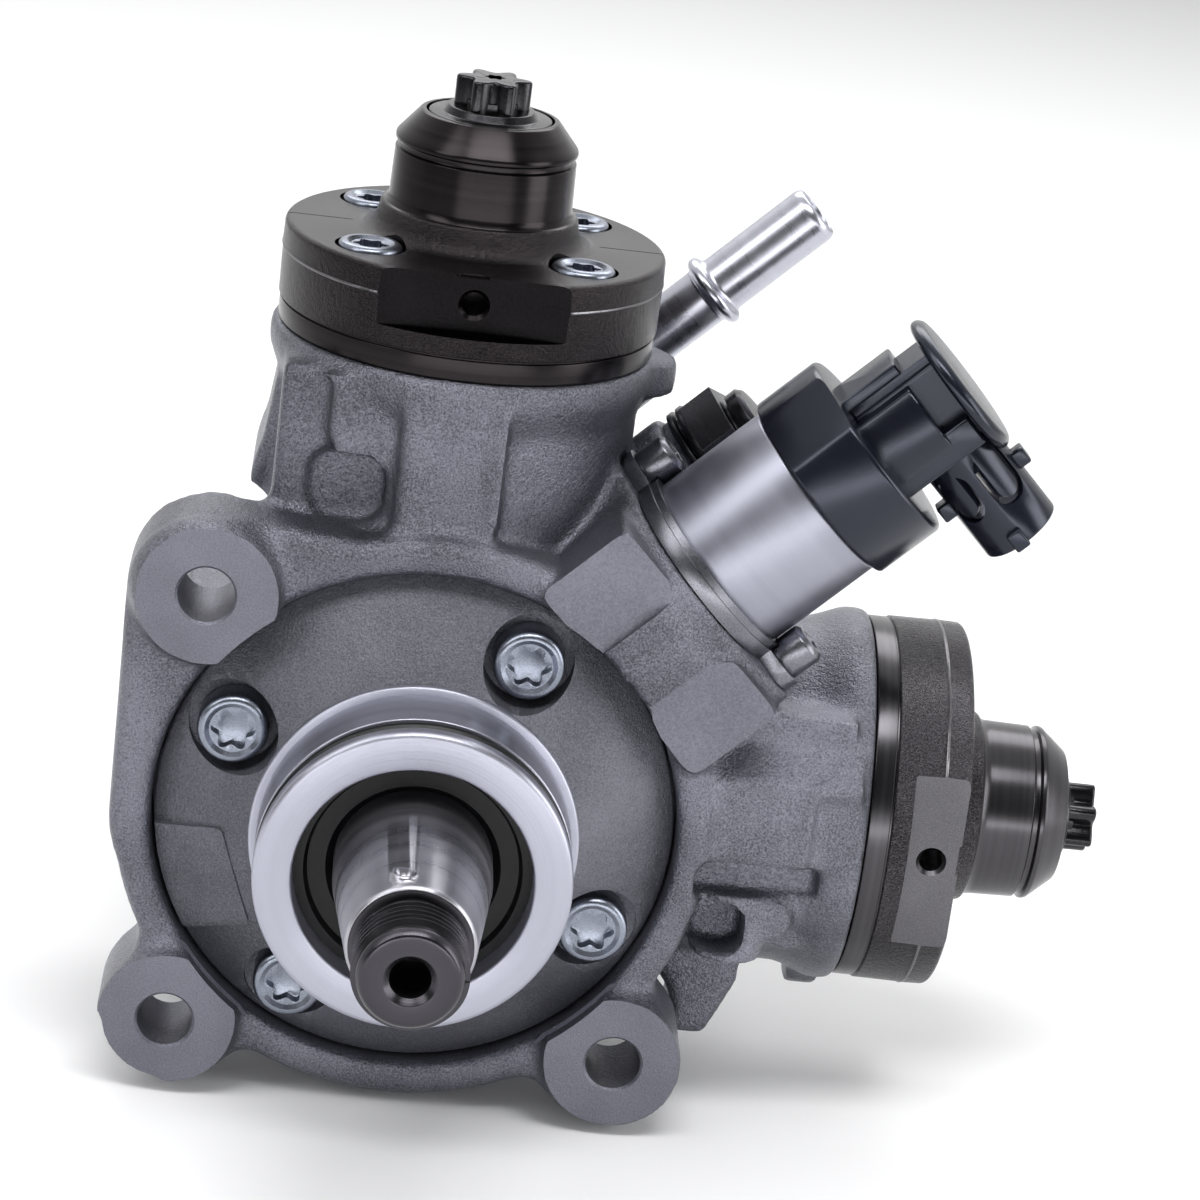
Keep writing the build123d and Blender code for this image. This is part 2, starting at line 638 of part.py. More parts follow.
# ---- one cylinder, built along a frame ---------------------------------------
def make_head(frame):
    groove = (head_spigot_bottom + 2.5, head_spigot_bottom + 5.5)
    spigot_r = head_spigot_d / 2
    flare = tower_d / 2 + tower_flare
    body = turned(frame, [
        (plunger_bore_d / 2, barrel_bottom), (barrel_d / 2 - 0.6, barrel_bottom), (barrel_d / 2, barrel_bottom + 0.6),
        (barrel_d / 2, head_spigot_bottom), (spigot_r, head_spigot_bottom),
        (spigot_r, groove[0]), (spigot_r - 1.8, groove[0]), (spigot_r - 1.8, groove[1]), (spigot_r, groove[1]),
        (spigot_r, head_seat), (head_band_d / 2, head_seat), (head_band_d / 2, head_seat + head_band_h),
        (head_d / 2, head_seat + head_band_h + 0.3), (head_d / 2, head_top - head_edge), (head_d / 2 - head_edge, head_top),
        (flare, head_top), (flare - 0.62 * tower_flare, head_top + 0.18 * tower_flare),
        (flare - 0.9 * tower_flare, head_top + 0.5 * tower_flare), (tower_d / 2, head_top + tower_flare),
        (tower_d / 2, tower_groove_h), (tower_d / 2 - tower_groove_depth, tower_groove_h + 0.2),
        (tower_d / 2 - tower_groove_depth, tower_groove_h + tower_groove_w - 0.2), (tower_d / 2, tower_groove_h + tower_groove_w),
        (tower_d / 2, tower_groove_h + tower_groove_w + 0.6), (cone_top_d / 2, tower_top), (plug_d / 2 + plug_slit, tower_top),
        (plug_d / 2 + plug_slit, plug_floor), (valve_bore_d / 2, plug_floor), (valve_bore_d / 2, chamber_top),
        (plunger_bore_d / 2, chamber_top),
    ])
    flat_y = -head_d / 2 + head_flat_depth
    body -= frame * Pos(0, flat_y, head_flat_bottom) * Box(
        head_d, 2 * head_flat_depth, head_top, align=(Align.CENTER, Align.MAX, Align.MIN))
    middle = (head_flat_bottom + head_top) / 2
    body -= frame * Pos(0, flat_y + head_flat_hole_depth, middle) * Rot(90, 0, 0) * Cylinder(
        head_flat_hole_d / 2, head_flat_hole_depth + 5, align=(Align.CENTER, Align.CENTER, Align.MIN))
    for sx in (-1, 1):
        for sy in (-1, 1):
            spot = frame * Pos(sx * head_screw_x, sy * head_screw_y, 0)
            body -= rod(spot, screw_hole_d, head_seat - 1, head_top + 1)
            body -= rod(spot, head_screw_pocket_d, head_top - head_screw_pocket_depth, head_top + 9)
    port = frame * Pos(0, 0, outlet_axis_h) * Rot(-90, 0, 0)
    body -= rod(port, outlet_duct_d, 0, outlet_seat_y + 1)
    return drill_outlet(body, port, 4)


def make_cylinder(prefix, frame):
    """All pieces of one cylinder, as a dictionary of named shapes."""
    out = {}
    out["cylinder_head"] = make_head(frame)
    screw = lobe_screw(head_screw_head_d, head_screw_pocket_depth + 0.7, screw_d, head_screw_length, head_drive_d)
    seat = head_top - head_screw_pocket_depth
    spots = [Pos(sx * head_screw_x, sy * head_screw_y, seat) for sx in (-1, 1) for sy in (-1, 1)]
    out["head_screws"] = Part() + [frame * spot * screw for spot in spots]
    out["head_seal"] = o_ring(frame, head_spigot_d, 1.75, head_spigot_bottom + 4)

    # plug with its six-lobed spud
    plug = turned(frame, [
        (0, plug_thread_bottom + 5), (4.2, plug_thread_bottom + 5), (4.2, plug_thread_bottom),
        (valve_bore_d / 2 - fit_gap - 0.4, plug_thread_bottom), (valve_bore_d / 2 - fit_gap, plug_thread_bottom + 0.4),
        (valve_bore_d / 2 - fit_gap, plug_floor), (plug_d / 2, plug_floor), (plug_d / 2, tower_top),
        (plug_collar_d / 2 + 0.6, tower_top), (plug_collar_d / 2, tower_top + plug_collar_h), (0, tower_top + plug_collar_h),
    ])
    plug += prism(frame, lobes(spud_d, spud_flute_d), tower_top, spud_top)
    out["valve_plug"] = plug

    # inlet valve: fixed seat, needle that opens towards the plunger, return spring
    flow_d = needle_stem_d + 1.6
    out["inlet_valve_seat"] = turned(frame, [
        (flow_d / 2, chamber_top), (valve_bore_d / 2 - fit_gap, chamber_top), (valve_bore_d / 2 - fit_gap, insert_top),
        (needle_stem_d / 2 + running_gap, insert_top), (needle_stem_d / 2 + running_gap, chamber_top + 2.5), (flow_d / 2, chamber_top + 2),
    ])
    needle_top = chamber_top - 0.05 + needle_length
    out["inlet_needle"] = turned(frame, [
        (0, chamber_top - 0.05 - needle_head_h), (needle_head_d / 2 - 0.4, chamber_top - 0.05 - needle_head_h),
        (needle_head_d / 2, chamber_top - 0.45 - needle_head_h / 2), (needle_head_d / 2, chamber_top - 0.05),
        (needle_stem_d / 2, chamber_top - 0.05), (needle_stem_d / 2, needle_top - retainer_drop - retainer_h),
        (retainer_d / 2, needle_top - retainer_drop - retainer_h), (retainer_d / 2, needle_top - retainer_drop),
        (needle_stem_d / 2, needle_top - retainer_drop), (needle_stem_d / 2, needle_top), (0, needle_top),
    ])
    spring_top = needle_top - retainer_drop - retainer_h
    out["inlet_valve_spring"] = coil(frame, needle_stem_d + 2.4, inlet_wire_d, insert_top, spring_top, 3)

    # outlet valve and union towards the rear
    port = frame * Pos(0, 0, outlet_axis_h) * Rot(-90, 0, 0)
    ball_y = outlet_seat_y + math.sqrt((outlet_ball_d / 2) ** 2 - (outlet_duct_d / 2) ** 2) + 0.03
    out["outlet_ball"] = port * Pos(0, 0, ball_y) * Sphere(outlet_ball_d / 2)
    spring_start = ball_y + math.sqrt((outlet_ball_d / 2) ** 2 - 1.0) + 0.05
    out["outlet_spring"] = coil(port, 2.0 + outlet_wire_d, outlet_wire_d, spring_start, union_inner_y, 4)
    union = turned(port, [
        (union_bore_d / 2, union_inner_y), (union_thread_d / 2, union_inner_y), (union_thread_d / 2, union_seat_y + 1),
        (union_thread_d / 2, union_seat_y + union_hex_h + union_nose - 1),
        (union_thread_d / 2 - 1, union_seat_y + union_hex_h + union_nose), (union_cone_d / 2, union_seat_y + union_hex_h + union_nose),
        (union_bore_d / 2, union_seat_y + union_hex_h + union_nose - union_cone_d / 2),
    ])
    union += prism(port, hexagon(union_hex) - Circle(union_thread_d / 2 - 1), union_seat_y, union_seat_y + union_hex_h)
    out["outlet_union"] = union

    # plunger group: roller in its shoe, tappet, spring plate, plunger and spring
    axle = frame * Pos(0, 0, roller_h) * Rot(-90, 0, 0)
    half = roller_length / 2
    out["roller"] = turned(axle, [
        (0, -half), (roller_r - 0.5, -half), (roller_r, -half + 0.5), (roller_r, half - 0.5), (roller_r - 0.5, half), (0, half)])
    pocket = half + 0.5
    shoe = ring(axle, 2 * shoe_r, roller_d + 2 * running_gap, -pocket + 0.2, pocket - 0.2)
    shoe -= frame * Pos(0, 0, roller_h - shoe_wrap) * Box(60, 60, 40, align=(Align.CENTER, Align.CENTER, Align.MAX))
    out["roller_shoe"] = shoe
    tappet = turned(frame, [
        (0, tappet_bottom), (tappet_d / 2 - 0.8, tappet_bottom), (tappet_d / 2, tappet_bottom + 0.8), (tappet_d / 2, tappet_top),
        (cup_r, tappet_top), (cup_r, web_top), (0, web_top),
    ])
    tappet -= rod(axle, 2 * shoe_r + 2 * fit_gap, -pocket, pocket)
    tappet -= frame * Pos(0, 0, roller_h) * Box(
        2 * shoe_r + 2 * fit_gap, 2 * pocket, 30, align=(Align.CENTER, Align.CENTER, Align.MAX))
    out["tappet"] = tappet
    out["spring_plate"] = turned(frame, [
        (plunger_foot_d / 2 + 0.3, web_top), (cup_r - plate_cup_gap, web_top), (cup_r - plate_cup_gap, plate_top),
        (plunger_d / 2 + 0.1, plate_top), (plunger_d / 2 + 0.1, web_top + plunger_foot_height + 0.1),
        (plunger_foot_d / 2 + 0.3, web_top + plunger_foot_height + 0.1),
    ])
    out["plunger"] = turned(frame, [
        (0, web_top), (plunger_foot_d / 2, web_top), (plunger_foot_d / 2, web_top + plunger_foot_height),
        (plunger_d / 2, web_top + plunger_foot_height), (plunger_d / 2, plunger_top - 0.4), (plunger_d / 2 - 0.4, plunger_top), (0, plunger_top),
    ])
    out["plunger_spring"] = coil(frame, spring_mean_d, spring_wire_d, plate_top, head_spigot_bottom, spring_turns)
    return {prefix + "_" + name: shape for name, shape in out.items()}


# ---- metering valve -----------------------------------------------------------
def make_metering():
    out = {}
    frame = metering_frame
    screw_x = metering_screw_r * math.cos(math.radians(metering_screw_turn))
    screw_y = metering_screw_r * math.sin(math.radians(metering_screw_turn))
    spots = [frame * Pos(side * screw_x, -side * screw_y, 0) for side in (-1, 1)]
    stem_r = metering_bore_d / 2 - fit_gap
    stem_start = metering_bore_bottom + metering_stem_gap
    grooves = (stem_start + 4.0, stem_start + 10.5)
    spool_start = stem_start + 3.0
    spool_end = spool_start + spool_length
    bore_end = spool_end + 8.0
    outline = [(1.6, stem_start), (stem_r - 0.6, stem_start), (stem_r, stem_start + 0.6)]
    for middle in grooves:
        outline += [(stem_r, middle - 1.2), (stem_r - 1.6, middle - 1.2), (stem_r - 1.6, middle + 1.2), (stem_r, middle + 1.2)]
    outline += [
        (stem_r, can_start), (can_d / 2, can_start), (can_d / 2, can_end - can_edge), (can_d / 2 - can_edge, can_end), (0, can_end),
        (0, bore_end), (spool_d / 2 + running_gap, bore_end), (spool_d / 2 + running_gap, spool_start), (1.6, spool_start),
    ]
    out["metering_valve_body"] = turned(frame, outline)
    out["metering_valve_seals"] = Part() + [o_ring(frame, 2 * stem_r, 1.55, middle) for middle in grooves]
    out["metering_spool"] = turned(frame, [
        (1.2, spool_start), (spool_d / 2, spool_start), (spool_d / 2, spool_start + 3), (spool_d / 2 - 0.6, spool_start + 3),
        (spool_d / 2 - 0.6, spool_start + 5), (spool_d / 2, spool_start + 5), (spool_d / 2, spool_end), (1.2, spool_end)])
    out["metering_spring"] = coil(frame, spool_d - 1.2, metering_wire_d, spool_end, bore_end, 5)

    plate = Circle(plate_collar_d / 2 + 0.6)
    for side in (-1, 1):
        ear = Pos(side * screw_x, -side * screw_y) * Circle(metering_ear_d / 2)
        plate += make_hull((ear + Pos(side * 8, -side * 2) * Circle(7.5)).edges())
    plate -= Circle(stem_r + fit_gap)
    body = prism(frame, plate, metering_seat, can_start)
    body += ring(frame, plate_collar_d, can_d + 2 * fit_gap, can_start - 0.01, can_start + plate_collar_h)
    for spot in spots:
        body -= rod(spot, metering_screw_d + 0.4, metering_seat - 1, can_start + 5)
        body -= rod(spot, metering_screw_head_d + 0.6, can_start, can_start + 5)
    out["metering_valve_flange"] = body
    screw = lobe_screw(metering_screw_head_d, metering_screw_head_h, metering_screw_d, plate_h + 9.5, metering_drive_d)
    out["metering_valve_screws"] = Part() + [spot * Pos(0, 0, can_start) * screw for spot in spots]

    cap = turned(frame, [
        (0, can_end), (cap_d / 2, can_end), (cap_d / 2, cap_end - 0.8), (cap_d / 2 - 0.8, cap_end), (0, cap_end)])
    cap -= frame * Rot(0, 0, cap_flat_angle) * Pos(cap_flat, 0, can_end - 1) * Box(
        10, 40, cap_length + 2, align=(Align.MIN, Align.CENTER, Align.MIN))
    block = Circle(neck_d / 2) & Rectangle(neck_d, 2 * neck_half_width)
    cap += prism(frame, block, cap_end - 0.5, neck_end)
    cap += rod(frame, end_disc_d, neck_end, neck_end + end_disc_h)
    socket = frame * Pos(0, 0, socket_height) * Rot(0, 90, 0)
    cap += rod(socket, socket_d, 4, socket_reach)
    cap -= rod(socket, socket_d - 2 * socket_wall, socket_floor, socket_reach + 1)
    for turn in (-90, 40):
        slot = Pos(socket_d / 2, 0, socket_floor + 5) * Box(4, socket_slot_w, 6)
        cap -= socket * Rot(0, 0, turn) * slot
    for turn in (0, 180):
        cap += socket * Rot(0, 0, turn) * Pos(socket_d / 2 - 0.2, 0, socket_reach - 4) * Box(2.6, 3, 2.4)
    out["metering_valve_connector"] = cap
    pins = []
    for side in (-1, 1):
        pin = Box(terminal_h, terminal_w, terminal_length, align=(Align.CENTER, Align.CENTER, Align.MIN))
        pins.append(socket * Pos(0, side * terminal_pitch / 2, socket_floor) * pin)
    out["connector_terminals"] = Part() + pins
    return out


# ---- overflow valve and nipple --------------------------------------------------
def make_overflow():
    out = {}
    frame = overflow_frame
    stem_r = overflow_stem_d / 2
    start = overflow_seat - overflow_stem_length
    piston_start = start + 3.0
    piston_end = piston_start + overflow_piston_length
    bore_end = overflow_head_start
    body = turned(frame, [
        (1.5, start), (stem_r - 0.5, start), (stem_r, start + 0.5), (stem_r, overflow_flange), (overflow_disc_d / 2, overflow_flange),
        (overflow_disc_d / 2, overflow_flange + 1.0), (overflow_disc_d / 2 - 1.2, overflow_flange + 1.2),
        (overflow_disc_d / 2 - 1.2, overflow_flange + 1.6), (overflow_disc_d / 2, overflow_flange + 1.8),
        (overflow_disc_d / 2, overflow_hex_start), (overflow_head_d / 2 - 1.2, overflow_hex_start),
        (overflow_head_d / 2 - 1.2, overflow_head_start + 0.6), (overflow_head_d / 2, overflow_head_start + 0.8),
        (overflow_head_d / 2, overflow_end - 0.8), (overflow_head_d / 2 - 0.8, overflow_end), (0, overflow_end),
        (0, bore_end), (overflow_piston_d / 2 + running_gap, bore_end),
        (overflow_piston_d / 2 + running_gap, piston_start), (1.5, piston_start),
    ])
    body += prism(frame, hexagon(overflow_hex) - Circle(overflow_head_d / 2 - 2), overflow_hex_start - 0.01, overflow_head_start)
    out["overflow_valve_body"] = body
    out["overflow_valve_seal"] = ring(frame, overflow_disc_d - 2, overflow_stem_d + 2 * fit_gap, overflow_seat, overflow_flange)
    out["overflow_piston"] = turned(frame, [
        (0, piston_start), (overflow_piston_d / 2 - 0.5, piston_start), (overflow_piston_d / 2, piston_start + 0.5),
        (overflow_piston_d / 2, piston_end), (0, piston_end)])
    out["overflow_spring"] = coil(frame, overflow_piston_d - 1.4, overflow_wire_d, piston_end, bore_end, 6)
    return out


def make_nipple():
    r = nipple_d / 2
    low = nipple_bead_h - nipple_bead_w / 2
    high = nipple_bead_h + nipple_bead_w / 2
    bead = nipple_bead_d / 2
    return turned(nipple_frame, [
        (nipple_bore_d / 2, nipple_seat - nipple_depth), (r, nipple_seat - nipple_depth), (r, low), (bead - 0.4, low + 0.4),
        (bead, low + 0.9), (bead, high - 0.9), (bead - 0.4, high - 0.4), (r, high), (r, nipple_tip - 1.0), (r - 0.7, nipple_tip),
        (nipple_bore_d / 2, nipple_tip),
    ])


# ---- all pieces -----------------------------------------------------------------
parts = {}
parts["pump_housing"] = make_casing()
parts["front_flange"] = make_flange()
flange_screw = lobe_screw(flange_screw_head_d, flange_screw_head_h, screw_d, flange_screw_length, flange_drive_d)
flip = Rot(180, 0, 0)
parts["flange_screws"] = Part() + [
    outward(a) * Pos(flange_screw_r, 0, screw_floor_y) * flip * flange_screw for a in flange_screw_angles]
parts["flange_body_seal"] = o_ring(shaft_frame, spigot_d, 1.75, flange_seat_y + 4)
parts["pilot_o_ring"] = o_ring(shaft_frame, pilot_d - 0.1, pilot_groove_depth - 0.1, pilot_groove_y)
seal_front = pilot_front + seal_depth
lip_r = seal_journal_d / 2 + running_gap
seal_r = seal_bore_d / 2 - fit_gap
parts["shaft_seal"] = turned(shaft_frame, [
    (seal_r, seal_front), (seal_r, seal_seat_y), (lip_r + 1.5, seal_seat_y), (lip_r + 1.5, seal_front + 4.0), (lip_r, seal_front + 3.4),
    (lip_r, seal_front + 2.6), (lip_r + 1.2, seal_front + 1.2), (seal_r - 2.2, seal_front + 1.2), (seal_r - 1.6, seal_front)])
parts["front_bush"] = ring(
    shaft_frame, front_journal_d + 2 * bush_wall, front_journal_d + 2 * running_gap, front_wall - front_bush_length, front_wall)
parts["rear_bush"] = ring(
    shaft_frame, rear_journal_d + 2 * bush_wall, rear_journal_d + 2 * running_gap, rear_wall, rear_wall + rear_bush_length)
parts["thrust_washers"] = Part() + [
    ring(shaft_frame, thrust_d, front_journal_d + 1, front_wall, thrust_front),
    ring(shaft_frame, thrust_d, rear_journal_d + 1, thrust_rear, rear_wall)]
parts["drive_shaft"] = make_shaft()
parts.update(make_cylinder("upper", upper_frame))
parts.update(make_cylinder("side", side_frame))
parts.update(make_metering())
parts.update(make_overflow())
parts["inlet_nipple"] = make_nipple()

os.makedirs("parts", exist_ok=True)
for name, shape in parts.items():
    export_step(shape, "parts/" + name + ".step")
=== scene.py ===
# %% [markdown]
# # A two-cylinder diesel injection pump
#
# This notebook dresses a finished CAD model of a high-pressure diesel pump. The CAD part is
# loaded as a fixed frame: it says where each piece is and how it moves. Blender then adds what
# CAD leaves out, such as the soft skin of a casting, turned marks on steel and worn black oxide.
# Everything is in metres and in the CAD's own frame: the drive shaft lies along Y with its
# threaded end towards -Y, one cylinder points up and the other one to +X.

# %% Load the frame
import json
import math

import bmesh
import bpy
from mathutils import Matrix, Vector
from mathutils.bvhtree import BVHTree


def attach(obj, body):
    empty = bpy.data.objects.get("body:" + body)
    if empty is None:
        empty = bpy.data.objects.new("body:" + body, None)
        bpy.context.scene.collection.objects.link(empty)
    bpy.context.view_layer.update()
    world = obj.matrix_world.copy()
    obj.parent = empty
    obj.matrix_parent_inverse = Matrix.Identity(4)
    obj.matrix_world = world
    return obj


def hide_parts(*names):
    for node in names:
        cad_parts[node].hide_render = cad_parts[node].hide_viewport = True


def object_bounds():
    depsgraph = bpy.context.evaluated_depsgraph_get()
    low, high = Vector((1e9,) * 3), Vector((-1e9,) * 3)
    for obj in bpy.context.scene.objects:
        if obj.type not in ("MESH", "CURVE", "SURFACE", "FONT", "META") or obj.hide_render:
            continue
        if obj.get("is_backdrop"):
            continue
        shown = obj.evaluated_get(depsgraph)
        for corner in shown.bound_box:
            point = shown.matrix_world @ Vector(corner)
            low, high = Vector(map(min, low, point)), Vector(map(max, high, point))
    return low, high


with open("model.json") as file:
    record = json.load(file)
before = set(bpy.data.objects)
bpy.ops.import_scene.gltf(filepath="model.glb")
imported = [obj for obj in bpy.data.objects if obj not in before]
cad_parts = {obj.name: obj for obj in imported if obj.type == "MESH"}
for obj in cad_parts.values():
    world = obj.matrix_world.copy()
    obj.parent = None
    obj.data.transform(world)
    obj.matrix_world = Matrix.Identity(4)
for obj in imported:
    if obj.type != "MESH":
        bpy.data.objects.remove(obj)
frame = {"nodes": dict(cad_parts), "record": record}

cad_low, cad_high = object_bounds()
nodes = frame["nodes"]
print(len(nodes), "CAD nodes, box", [round(c, 4) for c in cad_high - cad_low])

# %% [markdown]
# ## Local frames
#
# A pump is a set of turned pieces that stand on different axes. It is easiest to draw every one
# of them upright, in millimetres, and to place the finished shape with one matrix. Local z runs
# out along the piece's axis, and the matrix also turns millimetres into metres.

# %% Axes of the pump
MM = 0.001
cylinder_y = 38.0     # both cylinders stand in this plane
metering_y = 20.0
overflow_y, overflow_side = 48.0, -6.0
nipple_y, nipple_side = 62.0, -26.1


def place(origin, axis, across):
    """Matrix from upright millimetres to the pump: local z along axis, local x along across."""
    z, x = Vector(axis).normalized(), Vector(across).normalized()
    turn = Matrix((x, z.cross(x), z)).transposed().to_4x4()
    return Matrix.Translation(Vector(origin) * MM) @ turn @ Matrix.Scale(MM, 4)


def rotated(degrees, axis):
    """Rotation matrix about one axis, in degrees."""
    return Matrix.Rotation(math.radians(degrees), 4, axis)


diagonal, cross = Vector((1, 0, 1)).normalized(), Vector((1, 0, -1)).normalized()
shaft_frame = place((0, 0, 0), (0, 1, 0), (1, 0, 0))
upper_frame = place((0, cylinder_y, 0), (0, 0, 1), (1, 0, 0))
side_frame = place((0, cylinder_y, 0), (1, 0, 0), (0, 0, -1))
metering_frame = place((0, metering_y, 0), diagonal, cross)
overflow_frame = place(Vector((0, overflow_y, 0)) + cross * overflow_side, diagonal, cross)
nipple_frame = place(Vector((0, nipple_y, 0)) + cross * nipple_side, diagonal, cross)
print("six local frames; the metering valve points along", [round(c, 3) for c in diagonal])

# %% [markdown]
# ## Camera
#
# A product camera stands well back with a long lens, so that the pump keeps its proportions. It
# looks down on the pump by about 19 degrees and is rolled a little, which tilts the shaft.

# %% Camera
camera_place = Vector((-21.2, -600.4, 249.9)) * MM
camera_aim = Vector((24.1, -6.4, 45.0)) * MM
camera_roll = 7.52    # degrees
camera_lens, sensor_width = 122.05, 36

camera = bpy.data.objects.new("camera", bpy.data.cameras.new("camera"))
bpy.context.scene.collection.objects.link(camera)
camera.data.lens, camera.data.sensor_width = camera_lens, sensor_width
camera.data.clip_start, camera.data.clip_end = 0.01, 20
look = (camera_place - camera_aim).to_track_quat("Z", "Y").to_matrix().to_4x4()
camera.matrix_world = Matrix.Translation(camera_place) @ look @ rotated(camera_roll, "Z")
bpy.context.scene.camera = camera
print("camera", round((camera_place - camera_aim).length, 3), "m from the pump")

# %% [markdown]
# ## Floor, light and world
#
# Bright metal shows its surroundings, so the light is mostly shape and placement. Six soft
# lamps give long clean streaks on the turned pieces. The world is plain white to the camera.
# In reflections it is white at the sides and behind and darker where a photographer's room
# would be, because metal in an all-white room looks like plaster.

# %% Floor and lamps
floor_height = cad_low.z - 0.0005

bm = bmesh.new()
bmesh.ops.create_grid(bm, x_segments=1, y_segments=1, size=3.0,
    matrix=Matrix.Translation((0, 0, floor_height)))
floor_mesh = bpy.data.meshes.new("floor")
bm.to_mesh(floor_mesh)
bm.free()
floor = bpy.data.objects.new("floor", floor_mesh)
bpy.context.scene.collection.objects.link(floor)
floor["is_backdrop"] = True


lamp_aim = Vector((0.02, 0, 0.03))


def lamp(name, where, size, watts):
    """A rectangular soft lamp that faces the pump."""
    data = bpy.data.lights.new(name, "AREA")
    data.energy, data.shape = watts, "RECTANGLE"
    data.size, data.size_y = size
    obj = bpy.data.objects.new(name, data)
    bpy.context.scene.collection.objects.link(obj)
    obj.location = where
    obj.rotation_euler = (Vector(where) - lamp_aim).to_track_quat("Z", "Y").to_euler()


lamp("key", (-0.72, -0.42, 0.85), (0.45, 0.9), 4.8)
lamp("fill", (1.00, -0.30, 0.26), (0.5, 0.8), 5.5)
lamp("back", (0.1, 0.8, 0.8), (1.2, 0.5), 7.0)
lamp("front", (0.05, -1.10, 0.10), (1.4, 0.22), 1.2)
lamp("low", (0.05, -0.60, 0.00), (0.9, 0.07), 1.0)
lamp("top", (0.05, -0.38, 0.95), (0.7, 0.28), 6.0)
print("floor at", round(floor_height, 4), "m, six lamps")

# %% World and floor finish
world_light = 0.33    # plain level of the world on matt surfaces
room_dark = 0.10      # what metal sees on the photographer's side

bpy.context.scene.view_settings.view_transform = "Standard"
world = bpy.data.worlds.new("studio")
bpy.context.scene.world = world
world.use_nodes = True
tree = world.node_tree
tree.nodes.clear()


def add(tree, kind, **values):
    """A node with its settings; sockets are set by name."""
    node = tree.nodes.new(kind)
    for key, value in values.items():
        if hasattr(node, key):
            setattr(node, key, value)
        else:
            node.inputs[key.replace("_", " ")].default_value = value
    return node


def ramp(tree, fac, stops, smooth=False):
    """Colour ramp fed by fac, from (position, colour) stops."""
    node = tree.nodes.new("ShaderNodeValToRGB")
    points = node.color_ramp.elements
    while len(points) < len(stops):
        points.new(0.5)
    for point, (where, colour) in zip(points, stops):
        point.position = where
        point.color = (colour,) * 3 + (1,) if isinstance(colour, (int, float)) else (*colour, 1)
    node.color_ramp.interpolation = "EASE" if smooth else "LINEAR"
    tree.links.new(fac, node.inputs["Fac"])
    return node.outputs["Color"]


wire = tree.links.new
coordinates = add(tree, "ShaderNodeTexCoord")
split = add(tree, "ShaderNodeSeparateXYZ")
wire(coordinates.outputs["Generated"], split.inputs[0])
depth = add(tree, "ShaderNodeMapRange", From_Min=-1.0, From_Max=1.0)
wire(split.outputs["Y"], depth.inputs["Value"])
room = ramp(tree, depth.outputs["Result"], [(0.0, room_dark), (0.30, room_dark), (0.55, 0.75), (0.8, 1.0)],
    smooth=True)
rays = add(tree, "ShaderNodeLightPath")
metal_sees = add(tree, "ShaderNodeBackground", Strength=1.0)
wire(room, metal_sees.inputs["Color"])
matt_sees = add(tree, "ShaderNodeBackground", Strength=world_light)
camera_sees = add(tree, "ShaderNodeBackground", Strength=1.0)
matt_sees.inputs["Color"].default_value = camera_sees.inputs["Color"].default_value = (1, 1, 1, 1)
shiny = add(tree, "ShaderNodeMath", operation="MAXIMUM")
wire(rays.outputs["Is Glossy Ray"], shiny.inputs[0])
wire(rays.outputs["Is Transmission Ray"], shiny.inputs[1])
first, second = add(tree, "ShaderNodeMixShader"), add(tree, "ShaderNodeMixShader")
wire(shiny.outputs[0], first.inputs[0])
wire(matt_sees.outputs[0], first.inputs[1])
wire(metal_sees.outputs[0], first.inputs[2])
wire(rays.outputs["Is Camera Ray"], second.inputs[0])
wire(first.outputs[0], second.inputs[1])
wire(camera_sees.outputs[0], second.inputs[2])
wire(second.outputs[0], add(tree, "ShaderNodeOutputWorld").inputs[0])

floor_finish = bpy.data.materials.new("floor_paper")
floor_finish.use_nodes = True
paper = floor_finish.node_tree.nodes["Principled BSDF"]
paper.inputs["Base Color"].default_value = (0.94, 0.94, 0.945, 1)
paper.inputs["Roughness"].default_value = 0.75
floor.data.materials.append(floor_finish)
print("world and floor finish set")

# %% [markdown]
# ## Finishes
#
# A finish is one small function that builds a material. Two effects are needed by many
# metals, so each is a node group with named inputs: the pebbly skin of a casting, and the fine
# marks that run round an axis as a lathe leaves them.

# %% Effect: grain of a blasted skin
def group(name, inputs, outputs):
    """Empty node group with number or vector inputs and the given outputs."""
    made = bpy.data.node_groups.new(name, "ShaderNodeTree")
    for label, value in inputs.items():
        kind = "NodeSocketVector" if isinstance(value, tuple) else "NodeSocketFloat"
        made.interface.new_socket(label, in_out="INPUT", socket_type=kind).default_value = value
    for label in outputs:
        made.interface.new_socket(label, in_out="OUTPUT", socket_type="NodeSocketFloat")
    return made, made.nodes.new("NodeGroupInput"), made.nodes.new("NodeGroupOutput")


def feed(tree, socket, value):
    """Links value to a socket, or sets the socket if value is plain."""
    if isinstance(value, bpy.types.NodeSocket):
        tree.links.new(value, socket)
    else:
        socket.default_value = (*value, 1) if isinstance(value, tuple) else value


def math_node(tree, operation, a, b):
    """Result of one Math node; a and b are sockets or numbers."""
    node = add(tree, "ShaderNodeMath", operation=operation)
    for i, value in enumerate((a, b)):
        feed(tree, node.inputs[i], value)
    return node.outputs[0]


def noise(tree, where, scale, detail=2.0, rough=0.5):
    """Noise texture value at object coordinates; scale is per metre."""
    node = add(tree, "ShaderNodeTexNoise", Detail=detail, Roughness=rough)
    tree.links.new(where, node.inputs["Vector"])
    feed(tree, node.inputs["Scale"], scale)
    return node.outputs["Fac"]


